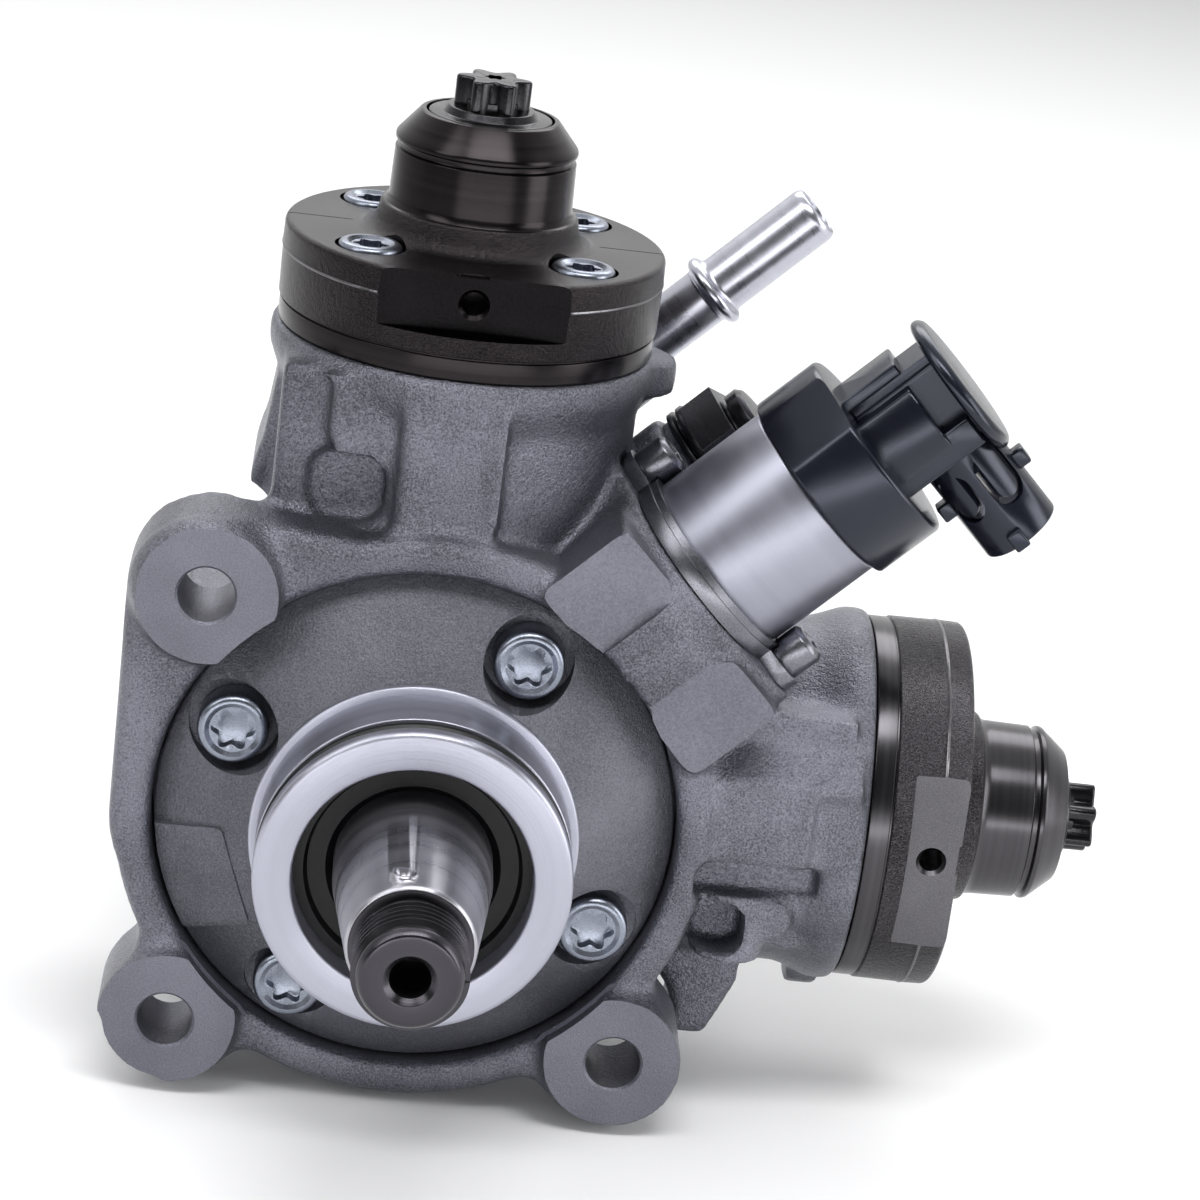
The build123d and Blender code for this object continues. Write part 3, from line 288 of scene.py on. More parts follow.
grain, given, result = group("blasted_grain", {"Grains per metre": 900.0}, ["Height", "Tone"])
wire = grain.links.new
where = add(grain, "ShaderNodeTexCoord").outputs["Object"]
coarse = noise(grain, where, given.outputs[0], 3.0, 0.6)
fine = noise(grain, where, math_node(grain, "MULTIPLY", given.outputs[0], 3.1), 2.0, 0.7)
slow = noise(grain, where, 55.0, 3.0)
wire(math_node(grain, "ADD", math_node(grain, "MULTIPLY", coarse, 0.5),
    math_node(grain, "MULTIPLY", fine, 0.5)),
                result.inputs["Height"])
tone = add(grain, "ShaderNodeMapRange", From_Min=0.38, From_Max=0.62)
wire(math_node(grain, "ADD", math_node(grain, "MULTIPLY", slow, 0.35),
    math_node(grain, "MULTIPLY", fine, 0.65)),
                tone.inputs["Value"])
wire(tone.outputs["Result"], result.inputs["Tone"])
print("group", grain.name)

# %% Effect: marks of a lathe
turning, given, result = group("turned_marks", {"Axis": (0.0, 1.0, 0.0), "Origin": (0.0, 0.0, 0.0),
    "Rings per metre": 2500.0},
                               ["Height", "Tone"])
wire = turning.links.new
centred = add(turning, "ShaderNodeVectorMath", operation="SUBTRACT")
wire(add(turning, "ShaderNodeTexCoord").outputs["Object"], centred.inputs[0])
wire(given.outputs["Origin"], centred.inputs[1])
along = add(turning, "ShaderNodeVectorMath", operation="DOT_PRODUCT")
flat = add(turning, "ShaderNodeVectorMath", operation="CROSS_PRODUCT")
for node in (along, flat):
    wire(centred.outputs[0], node.inputs[0])
    wire(given.outputs["Axis"], node.inputs[1])
reach = add(turning, "ShaderNodeVectorMath", operation="LENGTH")
wire(flat.outputs[0], reach.inputs[0])
ringed = add(turning, "ShaderNodeCombineXYZ")
wire(along.outputs["Value"], ringed.inputs[0])
wire(reach.outputs["Value"], ringed.inputs[1])
rings = given.outputs["Rings per metre"]
wire(noise(turning, ringed.outputs[0], rings, 3.0, 0.75), result.inputs["Height"])
wire(noise(turning, ringed.outputs[0], math_node(turning, "MULTIPLY", rings, 0.15), 3.0),
    result.inputs["Tone"])
print("group", turning.name)


# %% A metal or plastic finish
def effect(tree, made, **values):
    """A node group placed in a material with its own values."""
    node = tree.nodes.new("ShaderNodeGroup")
    node.node_tree = made
    for key, value in values.items():
        node.inputs[key.replace("_", " ")].default_value = value
    return node


def blend_colours(tree, mask, dark, light):
    """Colour between dark and light, by mask; each is a colour or a socket."""
    node = add(tree, "ShaderNodeMix", data_type="RGBA")
    tree.links.new(mask, node.inputs["Factor"])
    feed(tree, node.inputs[6], dark)
    feed(tree, node.inputs[7], light)
    return node.outputs[2]


def spread(tree, mask, low, high):
    """Mask from 0..1 stretched to low..high."""
    node = add(tree, "ShaderNodeMapRange", To_Min=low, To_Max=high)
    tree.links.new(mask, node.inputs["Value"])
    return node.outputs["Result"]


def bump(tree, height, depth, below=None):
    """Bump of that depth in metres; below is the normal it goes on."""
    node = add(tree, "ShaderNodeBump", Strength=1.0, Distance=depth)
    tree.links.new(height, node.inputs["Height"])
    if below is not None:
        tree.links.new(below, node.inputs["Normal"])
    return node.outputs["Normal"]


def finish(name, metallic, colour=None, rough=None, normal=None, **plain):
    """Material whose shader is fed by functions of its tree, or by plain values."""
    made = bpy.data.materials.new(name)
    made.use_nodes = True
    tree = made.node_tree
    shader = tree.nodes["Principled BSDF"]
    shader.inputs["Metallic"].default_value = metallic
    for socket, source in (("Base Color", colour), ("Roughness", rough), ("Normal", normal)):
        if source is not None:
            feed(tree, shader.inputs[socket], source(tree) if callable(source) else source)
    for key, value in plain.items():
        shader.inputs[key.replace("_", " ")].default_value = value
    return made


def cast_finish(name, dark, light, grains=900.0, depth=0.0003, rough=(0.38, 0.62), metallic=0.85, **plain):
    """Cast, blasted, forged or moulded skin: pebbly bump, mottled tone."""
    def pebbles(t):
        return effect(t, grain, Grains_per_metre=grains).outputs
    return finish(
        name, metallic,
        colour=lambda t: blend_colours(t, pebbles(t)["Tone"], dark, light),
        rough=lambda t: spread(t, pebbles(t)["Height"], *rough),
        normal=lambda t: bump(t, pebbles(t)["Height"], depth), **plain)


def turned_finish(name, local_frame, dark, light, rings=2500.0, depth=0.00004, rough=(0.20, 0.36),
        metallic=1.0, brushed=None):
    """Turned or ground metal, marked round a frame's axis; brushed names the axis if light streaks across."""
    axis = tuple((local_frame.to_3x3() @ Vector((0, 0, 1))).normalized())
    origin = tuple(local_frame.translation)

    def marks(t):
        return effect(t, turning, Axis=axis, Origin=origin, Rings_per_metre=rings)
    made = finish(
        name, metallic,
        colour=lambda t: blend_colours(t, marks(t).outputs["Tone"], dark, light),
        rough=lambda t: spread(t, marks(t).outputs["Tone"], *rough),
        normal=lambda t: bump(t, marks(t).outputs["Height"], depth))
    if brushed:
        round_axis = add(made.node_tree, "ShaderNodeTangent", direction_type="RADIAL", axis=brushed)
        shader = made.node_tree.nodes["Principled BSDF"]
        shader.inputs["Anisotropic"].default_value = 0.7
        shader.inputs["Anisotropic Rotation"].default_value = 0.25
        made.node_tree.links.new(round_axis.outputs[0], shader.inputs["Tangent"])
    return made


cast_aluminium = cast_finish("cast_aluminium", (0.064, 0.065, 0.078), (0.215, 0.218, 0.258), 1000.0, 0.00042,
    (0.22, 0.38), 0.85)
milled_aluminium = cast_finish("milled_aluminium", (0.118, 0.119, 0.143), (0.188, 0.190, 0.226), 1100.0,
    0.00022, (0.36, 0.50))
# Darker than the casing: partly the flange's own tone, partly painted shade on a face that looks forward.
flange_tone_and_painted_shade = cast_finish("flange_tone_and_painted_shade", (0.070, 0.071, 0.084), (0.150, 0.152, 0.178), 1000.0,
    0.0003, (0.34, 0.50), 0.65)
pilot_aluminium = turned_finish("pilot_aluminium", shaft_frame, (0.37, 0.375, 0.44), (0.48, 0.485, 0.56),
    rough=(0.30, 0.42), brushed="Y")
shaft_steel = turned_finish("shaft_steel", shaft_frame, (0.32, 0.315, 0.35), (0.46, 0.455, 0.50),
    rough=(0.22, 0.36), brushed="Y")
thread_steel = turned_finish("thread_steel", shaft_frame, (0.042, 0.040, 0.046), (0.082, 0.079, 0.089),
    rough=(0.20, 0.32))
# Near-black steel for the inside of the shaft's centre hole: painted shade in the hole.
centre_hole_painted_shade = turned_finish("centre_hole_painted_shade", shaft_frame, (0.03, 0.03, 0.032), (0.06, 0.06, 0.064),
    rough=(0.35, 0.5))
zinc_steel = cast_finish("zinc_steel", (0.18, 0.197, 0.24), (0.29, 0.313, 0.368), 1500.0, 0.00003,
    (0.22, 0.36), 1.0)
plate_steel = cast_finish("plate_steel", (0.13, 0.132, 0.15), (0.24, 0.242, 0.27), 1600.0, 0.00004,
    (0.22, 0.36), 1.0)
can_steel = turned_finish("can_steel", metering_frame, (0.26, 0.264, 0.315), (0.36, 0.365, 0.425),
    depth=0.00002, rough=(0.32, 0.46))
tube_steel = turned_finish("tube_steel", nipple_frame, (0.42, 0.425, 0.48), (0.54, 0.545, 0.61),
    depth=0.000015, rough=(0.22, 0.34))
valve_steel = turned_finish("valve_steel", overflow_frame, (0.022, 0.022, 0.026), (0.060, 0.060, 0.068),
    rough=(0.20, 0.34))
dark_steel = cast_finish("dark_steel", (0.022, 0.0215, 0.024), (0.055, 0.054, 0.058), 1800.0, 0.00003,
    (0.15, 0.28), 1.0)
black_plastic = cast_finish("black_plastic", (0.0035, 0.004, 0.0075), (0.0075, 0.0085, 0.015), 2600.0,
    0.00002, (0.15, 0.24), 0.0,
                            Specular_Tint=(0.80, 0.85, 1.0, 1))
black_rubber = cast_finish("black_rubber", (0.002, 0.002, 0.0022), (0.005, 0.005, 0.0055), 1400.0, 0.00004,
    (0.30, 0.44), 0.0, Specular_IOR_Level=0.3)
spring_steel = turned_finish("spring_steel", upper_frame, (0.22, 0.22, 0.23), (0.32, 0.32, 0.33))
bronze = turned_finish("bronze", shaft_frame, (0.42, 0.28, 0.14), (0.52, 0.36, 0.19))
terminal_tin = cast_finish("terminal_tin", (0.45, 0.45, 0.46), (0.60, 0.60, 0.60), 1500.0, 0.00002,
    (0.25, 0.35), 1.0)
print(len(bpy.data.materials), "materials")

# %% [markdown]
# ## Making turned pieces
#
# A turned piece is half a section spun about its axis. The section is drawn as corners, and the
# corners that a tool would round are bevelled while the section is still flat. That gives clean
# round edges all the way round, with no bevel to go wrong after a cut.

# %% Lathe helper
def face_out(bm):
    """Turns all faces of a closed bmesh outwards."""
    bmesh.ops.recalc_face_normals(bm, faces=bm.faces[:])


def lathe(corners, steps=128):
    """Closed mesh turned from (radius, height, rounding) corners of half its section."""
    bm = bmesh.new()
    verts = [bm.verts.new((c[0], 0, c[1])) for c in corners]
    bm.faces.new(verts)
    for vert, corner in zip(verts, corners):
        if len(corner) > 2:
            bmesh.ops.bevel(bm, geom=[vert], offset=corner[2], segments=4, profile=0.5, affect="VERTICES",
                material=-1)
    bmesh.ops.delete(bm, geom=bm.faces[:], context="FACES_ONLY")
    on_axis = [e for e in bm.edges if all(abs(v.co.x) < 1e-6 for v in e.verts)]
    bmesh.ops.delete(bm, geom=on_axis, context="EDGES")
    bmesh.ops.spin(bm, geom=bm.verts[:] + bm.edges[:], cent=(0, 0, 0), axis=(0, 0, 1), angle=2 * math.pi,
                   steps=steps, use_merge=True)
    bmesh.ops.remove_doubles(bm, verts=bm.verts[:], dist=1e-4)
    face_out(bm)
    return bm


def raise_outline(bm, height):
    """Extrudes the one flat face of a bmesh upwards."""
    raised = bmesh.ops.extrude_face_region(bm, geom=bm.faces[:])
    moved = [g for g in raised["geom"] if isinstance(g, bmesh.types.BMVert)]
    bmesh.ops.translate(bm, verts=moved, vec=(0, 0, height))


def oblong(x0, x1, y0, y1):
    """Corners of a rectangle, for rounded_prism."""
    return [(x0, y0), (x1, y0), (x1, y1), (x0, y1)]


def rounded_prism(points, low, high, rounding=0.0, segments=3):
    """Outline of (x, y) points raised from low to high, its long edges rounded."""
    bm = bmesh.new()
    bm.faces.new([bm.verts.new((x, y, low)) for x, y in points])
    raise_outline(bm, high - low)
    if rounding:
        sides = [e for e in bm.edges if abs(e.verts[0].co.z - e.verts[1].co.z) > 1e-6]
        bmesh.ops.bevel(bm, geom=sides, offset=rounding, segments=segments, profile=0.5, affect="EDGES",
            material=-1)
    face_out(bm)
    return bm


def pillar(diameter, low, high, where=(0, 0), steps=64):
    """Upright cylinder."""
    bm = bmesh.new()
    middle = Matrix.Translation((where[0], where[1], (low + high) / 2))
    bmesh.ops.create_cone(bm, cap_ends=True, segments=steps, radius1=diameter / 2, radius2=diameter / 2,
                          depth=high - low, matrix=middle)
    return bm


def block(size, middle):
    """Upright box."""
    bm = bmesh.new()
    bmesh.ops.create_cube(bm, size=1.0, matrix=Matrix.Translation(middle) @ Matrix.Diagonal((*size, 1)))
    return bm


def as_object(bm, name, material=None, matrix=None):
    """Object from a bmesh, which is freed."""
    if matrix is not None:
        bmesh.ops.transform(bm, matrix=matrix, verts=bm.verts[:])
    mesh = bpy.data.meshes.new(name)
    bm.to_mesh(mesh)
    bm.free()
    if material is not None:
        mesh.materials.append(material)
    obj = bpy.data.objects.new(name, mesh)
    bpy.context.scene.collection.objects.link(obj)
    return obj


print("lathe, prism, pillar and block helpers ready")


# %% Cutting and joining helper
def bake(obj):
    """Applies an object's modifiers to its mesh."""
    made = bpy.data.meshes.new_from_object(obj.evaluated_get(bpy.context.evaluated_depsgraph_get()))
    obj.modifiers.clear()
    obj.data = made
    return obj


def combine(obj, tools, operation="DIFFERENCE", material=None):
    """Cuts the tools from obj, or joins them to it; faces that a tool leaves get the material."""
    surfaces = bmesh.new()
    for tool in tools:
        surfaces.from_mesh(tool.data)
        step = obj.modifiers.new(operation, "BOOLEAN")
        step.operation, step.solver, step.object = operation, "MANIFOLD", tool
    bake(obj)
    if material is not None:
        paint(obj, material, BVHTree.FromBMesh(surfaces))
    surfaces.free()
    for tool in tools:
        bpy.data.objects.remove(tool)
    return obj


def paint(obj, material, surface=None, where=None):
    """Gives a material to the faces that lie on a surface, or whose centre passes a test."""
    if material.name not in obj.data.materials:
        obj.data.materials.append(material)
    index = obj.data.materials.find(material.name)
    for polygon in obj.data.polygons:
        if surface is None:
            chosen = where(polygon.center)
        else:
            chosen = surface.find_nearest(polygon.center, 0.02)[0] is not None
        if chosen:
            polygon.material_index = index


def settle(obj, matrix, replaces, smooth=32, body="pump_body"):
    """Puts an upright piece in its place, smooths its shading and gives it its body."""
    obj.data.transform(matrix)
    for polygon in obj.data.polygons:
        polygon.use_smooth = True
    obj.data.set_sharp_from_angle(angle=math.radians(smooth))
    bm = bmesh.new()
    bm.from_mesh(obj.data)
    for edge in bm.edges:
        if len(edge.link_faces) == 2 and len({face.material_index for face in edge.link_faces}) == 2:
            edge.smooth = False
    bm.to_mesh(obj.data)
    bm.free()
    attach(obj, body)
    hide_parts(*replaces)
    print(obj.name, len(obj.data.polygons), "faces")


def soften(obj, width, segments=2, angle=35, worn=None):
    """Small bevel on the sharp edges of an upright piece, applied; worn is the finish of those edges."""
    step = obj.modifiers.new("edges", "BEVEL")
    if worn is not None:
        if worn.name not in obj.data.materials:
            obj.data.materials.append(worn)
        step.material = obj.data.materials.find(worn.name)
    step.width, step.segments = width, segments
    step.limit_method, step.angle_limit = "ANGLE", math.radians(angle)
    step.harden_normals = False
    return bake(obj)


print("combine, settle and soften ready")

# %% [markdown]
# ## The casting
#
# The casing is sand-blasted cast aluminium: every edge that was cast is soft and every inner
# corner is a fillet, while the faces and bores that were machined are crisp. It is made here as
# in the foundry. The CAD casing gets some metal added where it will be machined, a voxel remesh
# and a little smoothing turn it into a soft-edged casting, and then it is bored and faced to
# the exact sizes.

# %% Sizes that the casting shares with the CAD
lug_at = 36.6
lug_spots = ((-lug_at, lug_at), (-lug_at, -lug_at), (lug_at, -lug_at))
lug_hole_d, lug_pad_d, lug_depth = 9.0, 22.6, 16.5
mouth_d, mouth_front, flange_seat = 84.6, 3.5, 13.0
head_seat = 73.4
metering_seat = 59.6
screw_circle, screw_tilt = 18.9, math.radians(23.0)
metering_screws = [(s * screw_circle * math.cos(screw_tilt),
    -s * screw_circle * math.sin(screw_tilt)) for s in (-1, 1)]
pad_middles, pad_width, pad_front, pad_low, pad_high = (-12.6, 14.6), 12.4, 2.2, 40.5, 57.6
allowance = 1.4       # extra metal on a face that will be machined
voxel = 0.82
head_spigot_d, tappet_bore_d, flange_bore_d = 36.06, 30.08, 56.06
metering_bore_d, overflow_seat_d, nipple_bore_d = 17.9, 23.4, 9.96

UP = Matrix.Scale(1 / MM, 4)   # from metres back to the workshop's millimetres


def in_mm(frame_matrix):
    """A local frame of the pump, in millimetres of the pump's own axes."""
    return UP @ frame_matrix


print("casting sizes set, voxel", voxel, "mm")

# %% Rough casting
bm = bmesh.new()
bm.from_mesh(nodes["pump_housing"].data)
bmesh.ops.transform(bm, matrix=UP, verts=bm.verts[:])
bmesh.ops.remove_doubles(bm, verts=bm.verts[:], dist=0.002)


def add_metal(bm, extra, matrix):
    """Adds a closed shape, which is freed, to a bmesh; the remesh fuses them."""
    bmesh.ops.transform(extra, matrix=matrix, verts=extra.verts[:])
    part = bpy.data.meshes.new("metal")
    extra.to_mesh(part)
    extra.free()
    bm.from_mesh(part)
    bpy.data.meshes.remove(part)


for x, z in lug_spots:
    add_metal(bm, pillar(lug_hole_d + 1.5, -allowance, lug_depth - 0.6, (x, -z)), in_mm(shaft_frame))
    add_metal(bm, pillar(lug_pad_d - 1.0, -allowance, 1.5, (x * 0.985, -z * 0.985)), in_mm(shaft_frame))
for middle in pad_middles:
    low, high = pad_front - metering_y - allowance, pad_front - metering_y + 6.0 - allowance
    outline = oblong(middle - pad_width / 2, middle + pad_width / 2, -pad_high, -pad_low)
    tall = rounded_prism(outline, low, high, 2.4, 5)
    add_metal(bm, tall, in_mm(metering_frame) @ rotated(-90, "X"))
add_metal(bm, pillar(6.8, 8.2, 20.0, (60.0, 12.6), 48), in_mm(shaft_frame))
along_x = Matrix(((0, 0, 1, 0), (1, 0, 0, 0), (0, 1, 0, 0), (0, 0, 0, 1)))
add_metal(bm, rounded_prism([(5.5, 11.5), (5.5, 12.5), (10.0, 16.6), (14.0, 17.6), (14.0, 11.5)], 45.0, 71.5),
    along_x)
for size, middle in (((1.3, 2.2, 14.2), (63.3, 5.9, 5.4)), ((1.4, 2.4, 14.0), (-6.6, 7.6, 56.5)),
        ((1.4, 2.4, 21.0), (6.9, 7.6, 59.5))):
    add_metal(bm, block(size, middle), Matrix())
rough = as_object(bm, "pump_casting", cast_aluminium)


def skin(obj):
    """One closed skin of even small faces over everything in obj."""
    step = obj.modifiers.new("skin", "REMESH")
    step.mode, step.voxel_size, step.adaptivity = "VOXEL", voxel, 0.0
    return bake(obj)


skin(rough)
cores = []
for across, heights, floor_y, rounding in (((46.0, 66.5), (-8.2, -1.9), 10.8, 1.8),
        ((46.6, 55.4), (-18.5, -9.5), 14.0, 3.0),
                                            ((-23.0, -10.4), (47.0, 58.6), 15.6, 4.0),
                                            ((-23.8, -20.4), (54.0, 71.0), 13.4, 1.6)):
    outline = oblong(*across, -heights[0], -heights[1])
    cores.append(as_object(rounded_prism(outline, -4.0, floor_y, rounding, 5), "core", None,
        in_mm(shaft_frame)))
skin(combine(rough, cores))
step = rough.modifiers.new("soft", "SMOOTH")
step.factor, step.iterations = 0.5, 4
bake(rough)
print("rough casting", len(rough.data.polygons), "faces")

# %% Machining
mouth = lathe([(0, -3), (mouth_d / 2, -3), (mouth_d / 2, mouth_front - 1.2),
    (mouth_d / 2 + 0.9, mouth_front - 0.3),
               (mouth_d / 2, mouth_front + 0.6), (mouth_d / 2, flange_seat), (0, flange_seat)], 180)
cutters = [as_object(mouth, "mouth", None, in_mm(shaft_frame))]


def drill(matrix, diameter, low, high, where=(0, 0), steps=72):
    """Adds one drill or facing tool to the cutters."""
    cutters.append(as_object(pillar(diameter, low, high, where, steps), "drill", None, in_mm(matrix)))


for x, z in lug_spots:
    drill(shaft_frame, lug_pad_d + 6, -6, 0.0, (x, -z))
    drill(shaft_frame, lug_hole_d, -8, lug_depth + 8, (x, -z))
    chamfer = lathe([(0, -1), (lug_hole_d / 2 + 1.4, -1), (lug_hole_d / 2 - 0.1, 0.5), (0, 0.5)], 72)
    bmesh.ops.translate(chamfer, verts=chamfer.verts[:], vec=(x, -z, 0))
    cutters.append(as_object(chamfer, "chamfer", None, in_mm(shaft_frame)))
for middle in pad_middles:
    tool = block((pad_width + 3, 8.0, pad_high - pad_low + 6),
        (middle, pad_front - metering_y - 4.0, (pad_low + pad_high) / 2))
    cutters.append(as_object(tool, "mill", None, in_mm(metering_frame)))
drill(metering_frame, 36.0, metering_seat, metering_seat + 16)
for spot in metering_screws:
    drill(metering_frame, 9.8, metering_seat, metering_seat + 16, spot)
for cylinder in (upper_frame, side_frame):
    drill(cylinder, 70.0, head_seat, head_seat + 6, steps=96)
    drill(cylinder, head_spigot_d, 63.8, head_seat + 1, steps=96)
    drill(cylinder, tappet_bore_d, 17.0, 64.0, steps=96)
drill(shaft_frame, flange_bore_d, 12.0, 50.0, steps=96)
drill(metering_frame, metering_bore_d, 44.5, metering_seat + 1)
drill(overflow_frame, overflow_seat_d, 65.5, 80.0)
drill(nipple_frame, nipple_bore_d, 56.8, 70.0)

thin = rough.modifiers.new("thin", "DECIMATE")
thin.ratio = 0.55
bake(rough)
casting = combine(rough, cutters, material=milled_aluminium)
settle(casting, Matrix.Scale(MM, 4), ("pump_housing",), smooth=40)

# %% [markdown]
# ## Front flange
#
# The flange closes the casing and carries the pump in the engine. Its cone stays as cast and
# is darker than the casing, partly as its own tone and partly as painted shade on a face that
# looks forward. The pilot in front of it is turned bright, with a groove for its
# ring seal. Both are lathe sections; the four screw pockets are bored into the cone before the
# pilot is joined on, so that the pilot's step stays whole.

# %% Flange
flange_r, hub_r, pilot_r = 41.9, 26.3, 25.0
cone_edge, cone_foot = 7.2, -1.8
flange_screw_r = 33.5
flange_screw_angles = (63.4, 154.9, 238.7, 335.3)
pocket_d, pocket_floor = 14.6, 7.0
bore_r, seal_bore_r = 15.03, 18.8


def round_the_shaft(angle, r=flange_screw_r):
    """Local x and y of a spot round the shaft; the angle runs from +X to +Z."""
    return r * math.cos(math.radians(angle)), -r * math.sin(math.radians(angle))


flange = as_object(lathe([
    (bore_r - 1.4, cone_foot - 1), (hub_r - 1, cone_foot - 1), (hub_r - 1, cone_foot - 0.5),
    (hub_r, cone_foot), (flange_r, cone_edge, 0.5),
    (flange_r, flange_seat), (28.0, flange_seat), (28.0, 15.5), (26.2, 15.5), (26.2, 18.5), (28.0, 18.5),
    (28.0, 22.0, 0.5), (20.0, 22.0),
    (20.0, 26.0), (bore_r, 26.0), (bore_r, 1.5), (bore_r - 1.4, 1.5)], 192), "flange_front", flange_tone_and_painted_shade)
pad = rounded_prism([(-43.5, 4.9), (-40.3, 4.6), (-30.6, 2.4), (-24.6, 18.6), (-33.0, 21.6), (-43.5, 24.5)],
    -1.0, 12.0, 0.9)
limit = lathe([(0, -1.9), (26.0, -1.9), (flange_r - 0.3, 5.6), (flange_r - 0.3, 12.5), (0, 12.5)], 128)
pad = combine(as_object(pad, "pad", flange_tone_and_painted_shade), [as_object(limit, "limit")], "INTERSECT")
flange = combine(flange, [pad], "UNION")
pockets = [as_object(pillar(pocket_d, -6, pocket_floor, round_the_shaft(a), 72),
    "pocket") for a in flange_screw_angles]
holes = [as_object(pillar(6.6, pocket_floor - 1, 23.0, round_the_shaft(a), 40),
    "hole") for a in flange_screw_angles]
flange = combine(flange, pockets + holes)
flange = soften(flange, 0.35)
pilot = as_object(lathe([
    (bore_r - 1.4, cone_foot + 0.6), (hub_r, cone_foot + 0.6), (hub_r, -3.0, 0.4), (pilot_r, -3.0),
    (pilot_r, -13.4, 0.25), (22.7, -13.4),
    (22.7, -17.0), (pilot_r, -17.0, 0.2), (pilot_r, -19.6, 1.0), (seal_bore_r, -19.6, 0.5),
    (seal_bore_r, -8.0), (bore_r - 1.4, -8.0)],
    192), "pilot", pilot_aluminium)
flange = combine(flange, [pilot], "UNION")
paint(flange, pilot_aluminium, where=lambda c: math.hypot(c.x, c.y) < hub_r + 0.02 and c.z < cone_foot - 0.02)
settle(flange, shaft_frame, ("front_flange",))

# %% [markdown]
# ## Screws
#
# All of the pump's cap screws have a six-lobed drive. The lobed outline is a circle whose
# points are pushed in and out six times round, raised into a punch that cuts the drive. A
# shallow cone round it stands for the mark that the forging tool leaves.

# %% Six-lobe screw
def lobed(outer_d, inner_d, low, high, phase=0.0, steps=84):
    """Upright prism with six rounded lobes."""
    bm = bmesh.new()
    bmesh.ops.create_circle(bm, cap_ends=True, segments=steps, radius=1.0,
        matrix=Matrix.Translation((0, 0, low)))
    middle, swing = (outer_d + inner_d) / 4, (outer_d - inner_d) / 4
    for vert in bm.verts:
        angle = math.atan2(vert.co.y, vert.co.x)
        reach = middle + swing * math.cos(6 * angle + phase)
        vert.co.x, vert.co.y = reach * math.cos(angle), reach * math.sin(angle)
    raise_outline(bm, high - low)
    face_out(bm)
    return bm


def screw(name, head_d, head_h, shank_d, length, drive_d, rounding, material):
    """Six-lobe cap screw, seat at 0 and head upwards."""
    body = as_object(lathe([
        (0, -length), (shank_d / 2, -length, 0.5), (shank_d / 2, 0), (head_d / 2, 0, 0.3),
        (head_d / 2, head_h, rounding),
        (drive_d / 2 + 0.9, head_h), (drive_d / 2 + 0.2, head_h - 0.45), (0, head_h - 0.45)], 72), name,
        material)
    punch = as_object(lobed(drive_d, 0.7 * drive_d, 0.58 * head_h, head_h + 1), "punch")
    tip = as_object(lathe([(0, 0.42 * head_h), (0.33 * drive_d, 0.60 * head_h), (0, 0.60 * head_h)], 48),
        "tip")
    combine(body, [punch, tip])
    return soften(body, 0.12)


def copies(original, matrices, name):
    """One object from copies of a mesh at several places; the original is used up."""
    bm = bmesh.new()
    for matrix in matrices:
        part = original.data.copy()
        part.transform(matrix)
        bm.from_mesh(part)
        bpy.data.meshes.remove(part)
    made = as_object(bm, name, original.data.materials[0])
    bpy.data.objects.remove(original)
    return made


turn_over = Matrix.Rotation(math.pi, 4, "X")
one = screw("screw", 11.4, 6.0, 6.0, 18.0, 7.2, 1.1, zinc_steel)
spots = [Matrix.Translation((*round_the_shaft(a), pocket_floor)) @ turn_over for a in flange_screw_angles]
settle(copies(one, spots, "flange_cap_screws"), shaft_frame, ("flange_screws",))

# %% [markdown]
# ## Drive shaft
#
# Only the front of the shaft shows: a threaded end with a centre hole, a relief groove and the
# ground taper that carries the gear. The thread is a real helix, a small ridge spun with a
# rise at each step. The cam inside the pump comes straight from the CAD solid, cut off where
# the new front begins.

# %% Shaft
tip, thread_r, thread_end, relief_end, taper_end = -55.7, 8.9, -45.1, -43.8, -19.8
small_r, big_r, journal_r = 10.0, 12.4, 12.5
pitch, thread_depth = 1.5, 0.8
joint = -9.5          # where the new front meets the CAD shaft

front = as_object(lathe([
    (0, tip + 13.1), (3.15, tip + 11.0), (3.15, tip + 0.9), (4.1, tip, 0.1), (thread_r - 1.6, tip, 0.5),
    (thread_r - thread_depth, tip + 1.2, 0.3), (thread_r - thread_depth, thread_end), (8.2, thread_end + 0.2),
    (8.2, relief_end - 0.1), (small_r - 0.4, relief_end, 0.1), (small_r, relief_end + 0.5, 0.2),
    (big_r, taper_end, 0.2),
    (journal_r, taper_end + 0.6, 0.2), (journal_r, joint), (0, joint)], 160), "drive_shaft_front",
    shaft_steel)
dimple_at = Matrix.Translation((-2.1, 0, -39.6)) @ rotated(90, "X")
collar = as_object(lathe([(0, 8.0), (2.3, 8.0), (2.3, 10.2), (1.9, 10.45), (0, 10.45)], 48), "collar", None,
    dimple_at)
combine(front, [collar], "UNION")
dimple = as_object(lathe([(0, 9.2), (1.1, 9.2), (1.7, 9.8), (1.7, 12.0), (0, 12.0)], 48), "dimple", None,
    dimple_at)
combine(front, [dimple])

ridge = bmesh.new()
half = pitch / 2 - 0.02
section = ridge.faces.new([ridge.verts.new(p) for p in (
    (thread_r - thread_depth - 0.2, 0, -half), (thread_r - 0.02, 0, -0.12), (thread_r - 0.02, 0, 0.12),
    (thread_r - thread_depth - 0.2, 0, half))])
turns = (thread_end - tip - 1.3 - pitch) / pitch
steps = int(64 * turns)
bmesh.ops.spin(ridge, geom=[section], axis=(0, 0, 1), dvec=(0, 0, pitch * turns / steps),
    angle=2 * math.pi * turns, steps=steps)
bmesh.ops.remove_doubles(ridge, verts=ridge.verts[:], dist=1e-5)
face_out(ridge)
bmesh.ops.translate(ridge, verts=ridge.verts[:], vec=(0, 0, tip + 1.2 + pitch / 2))

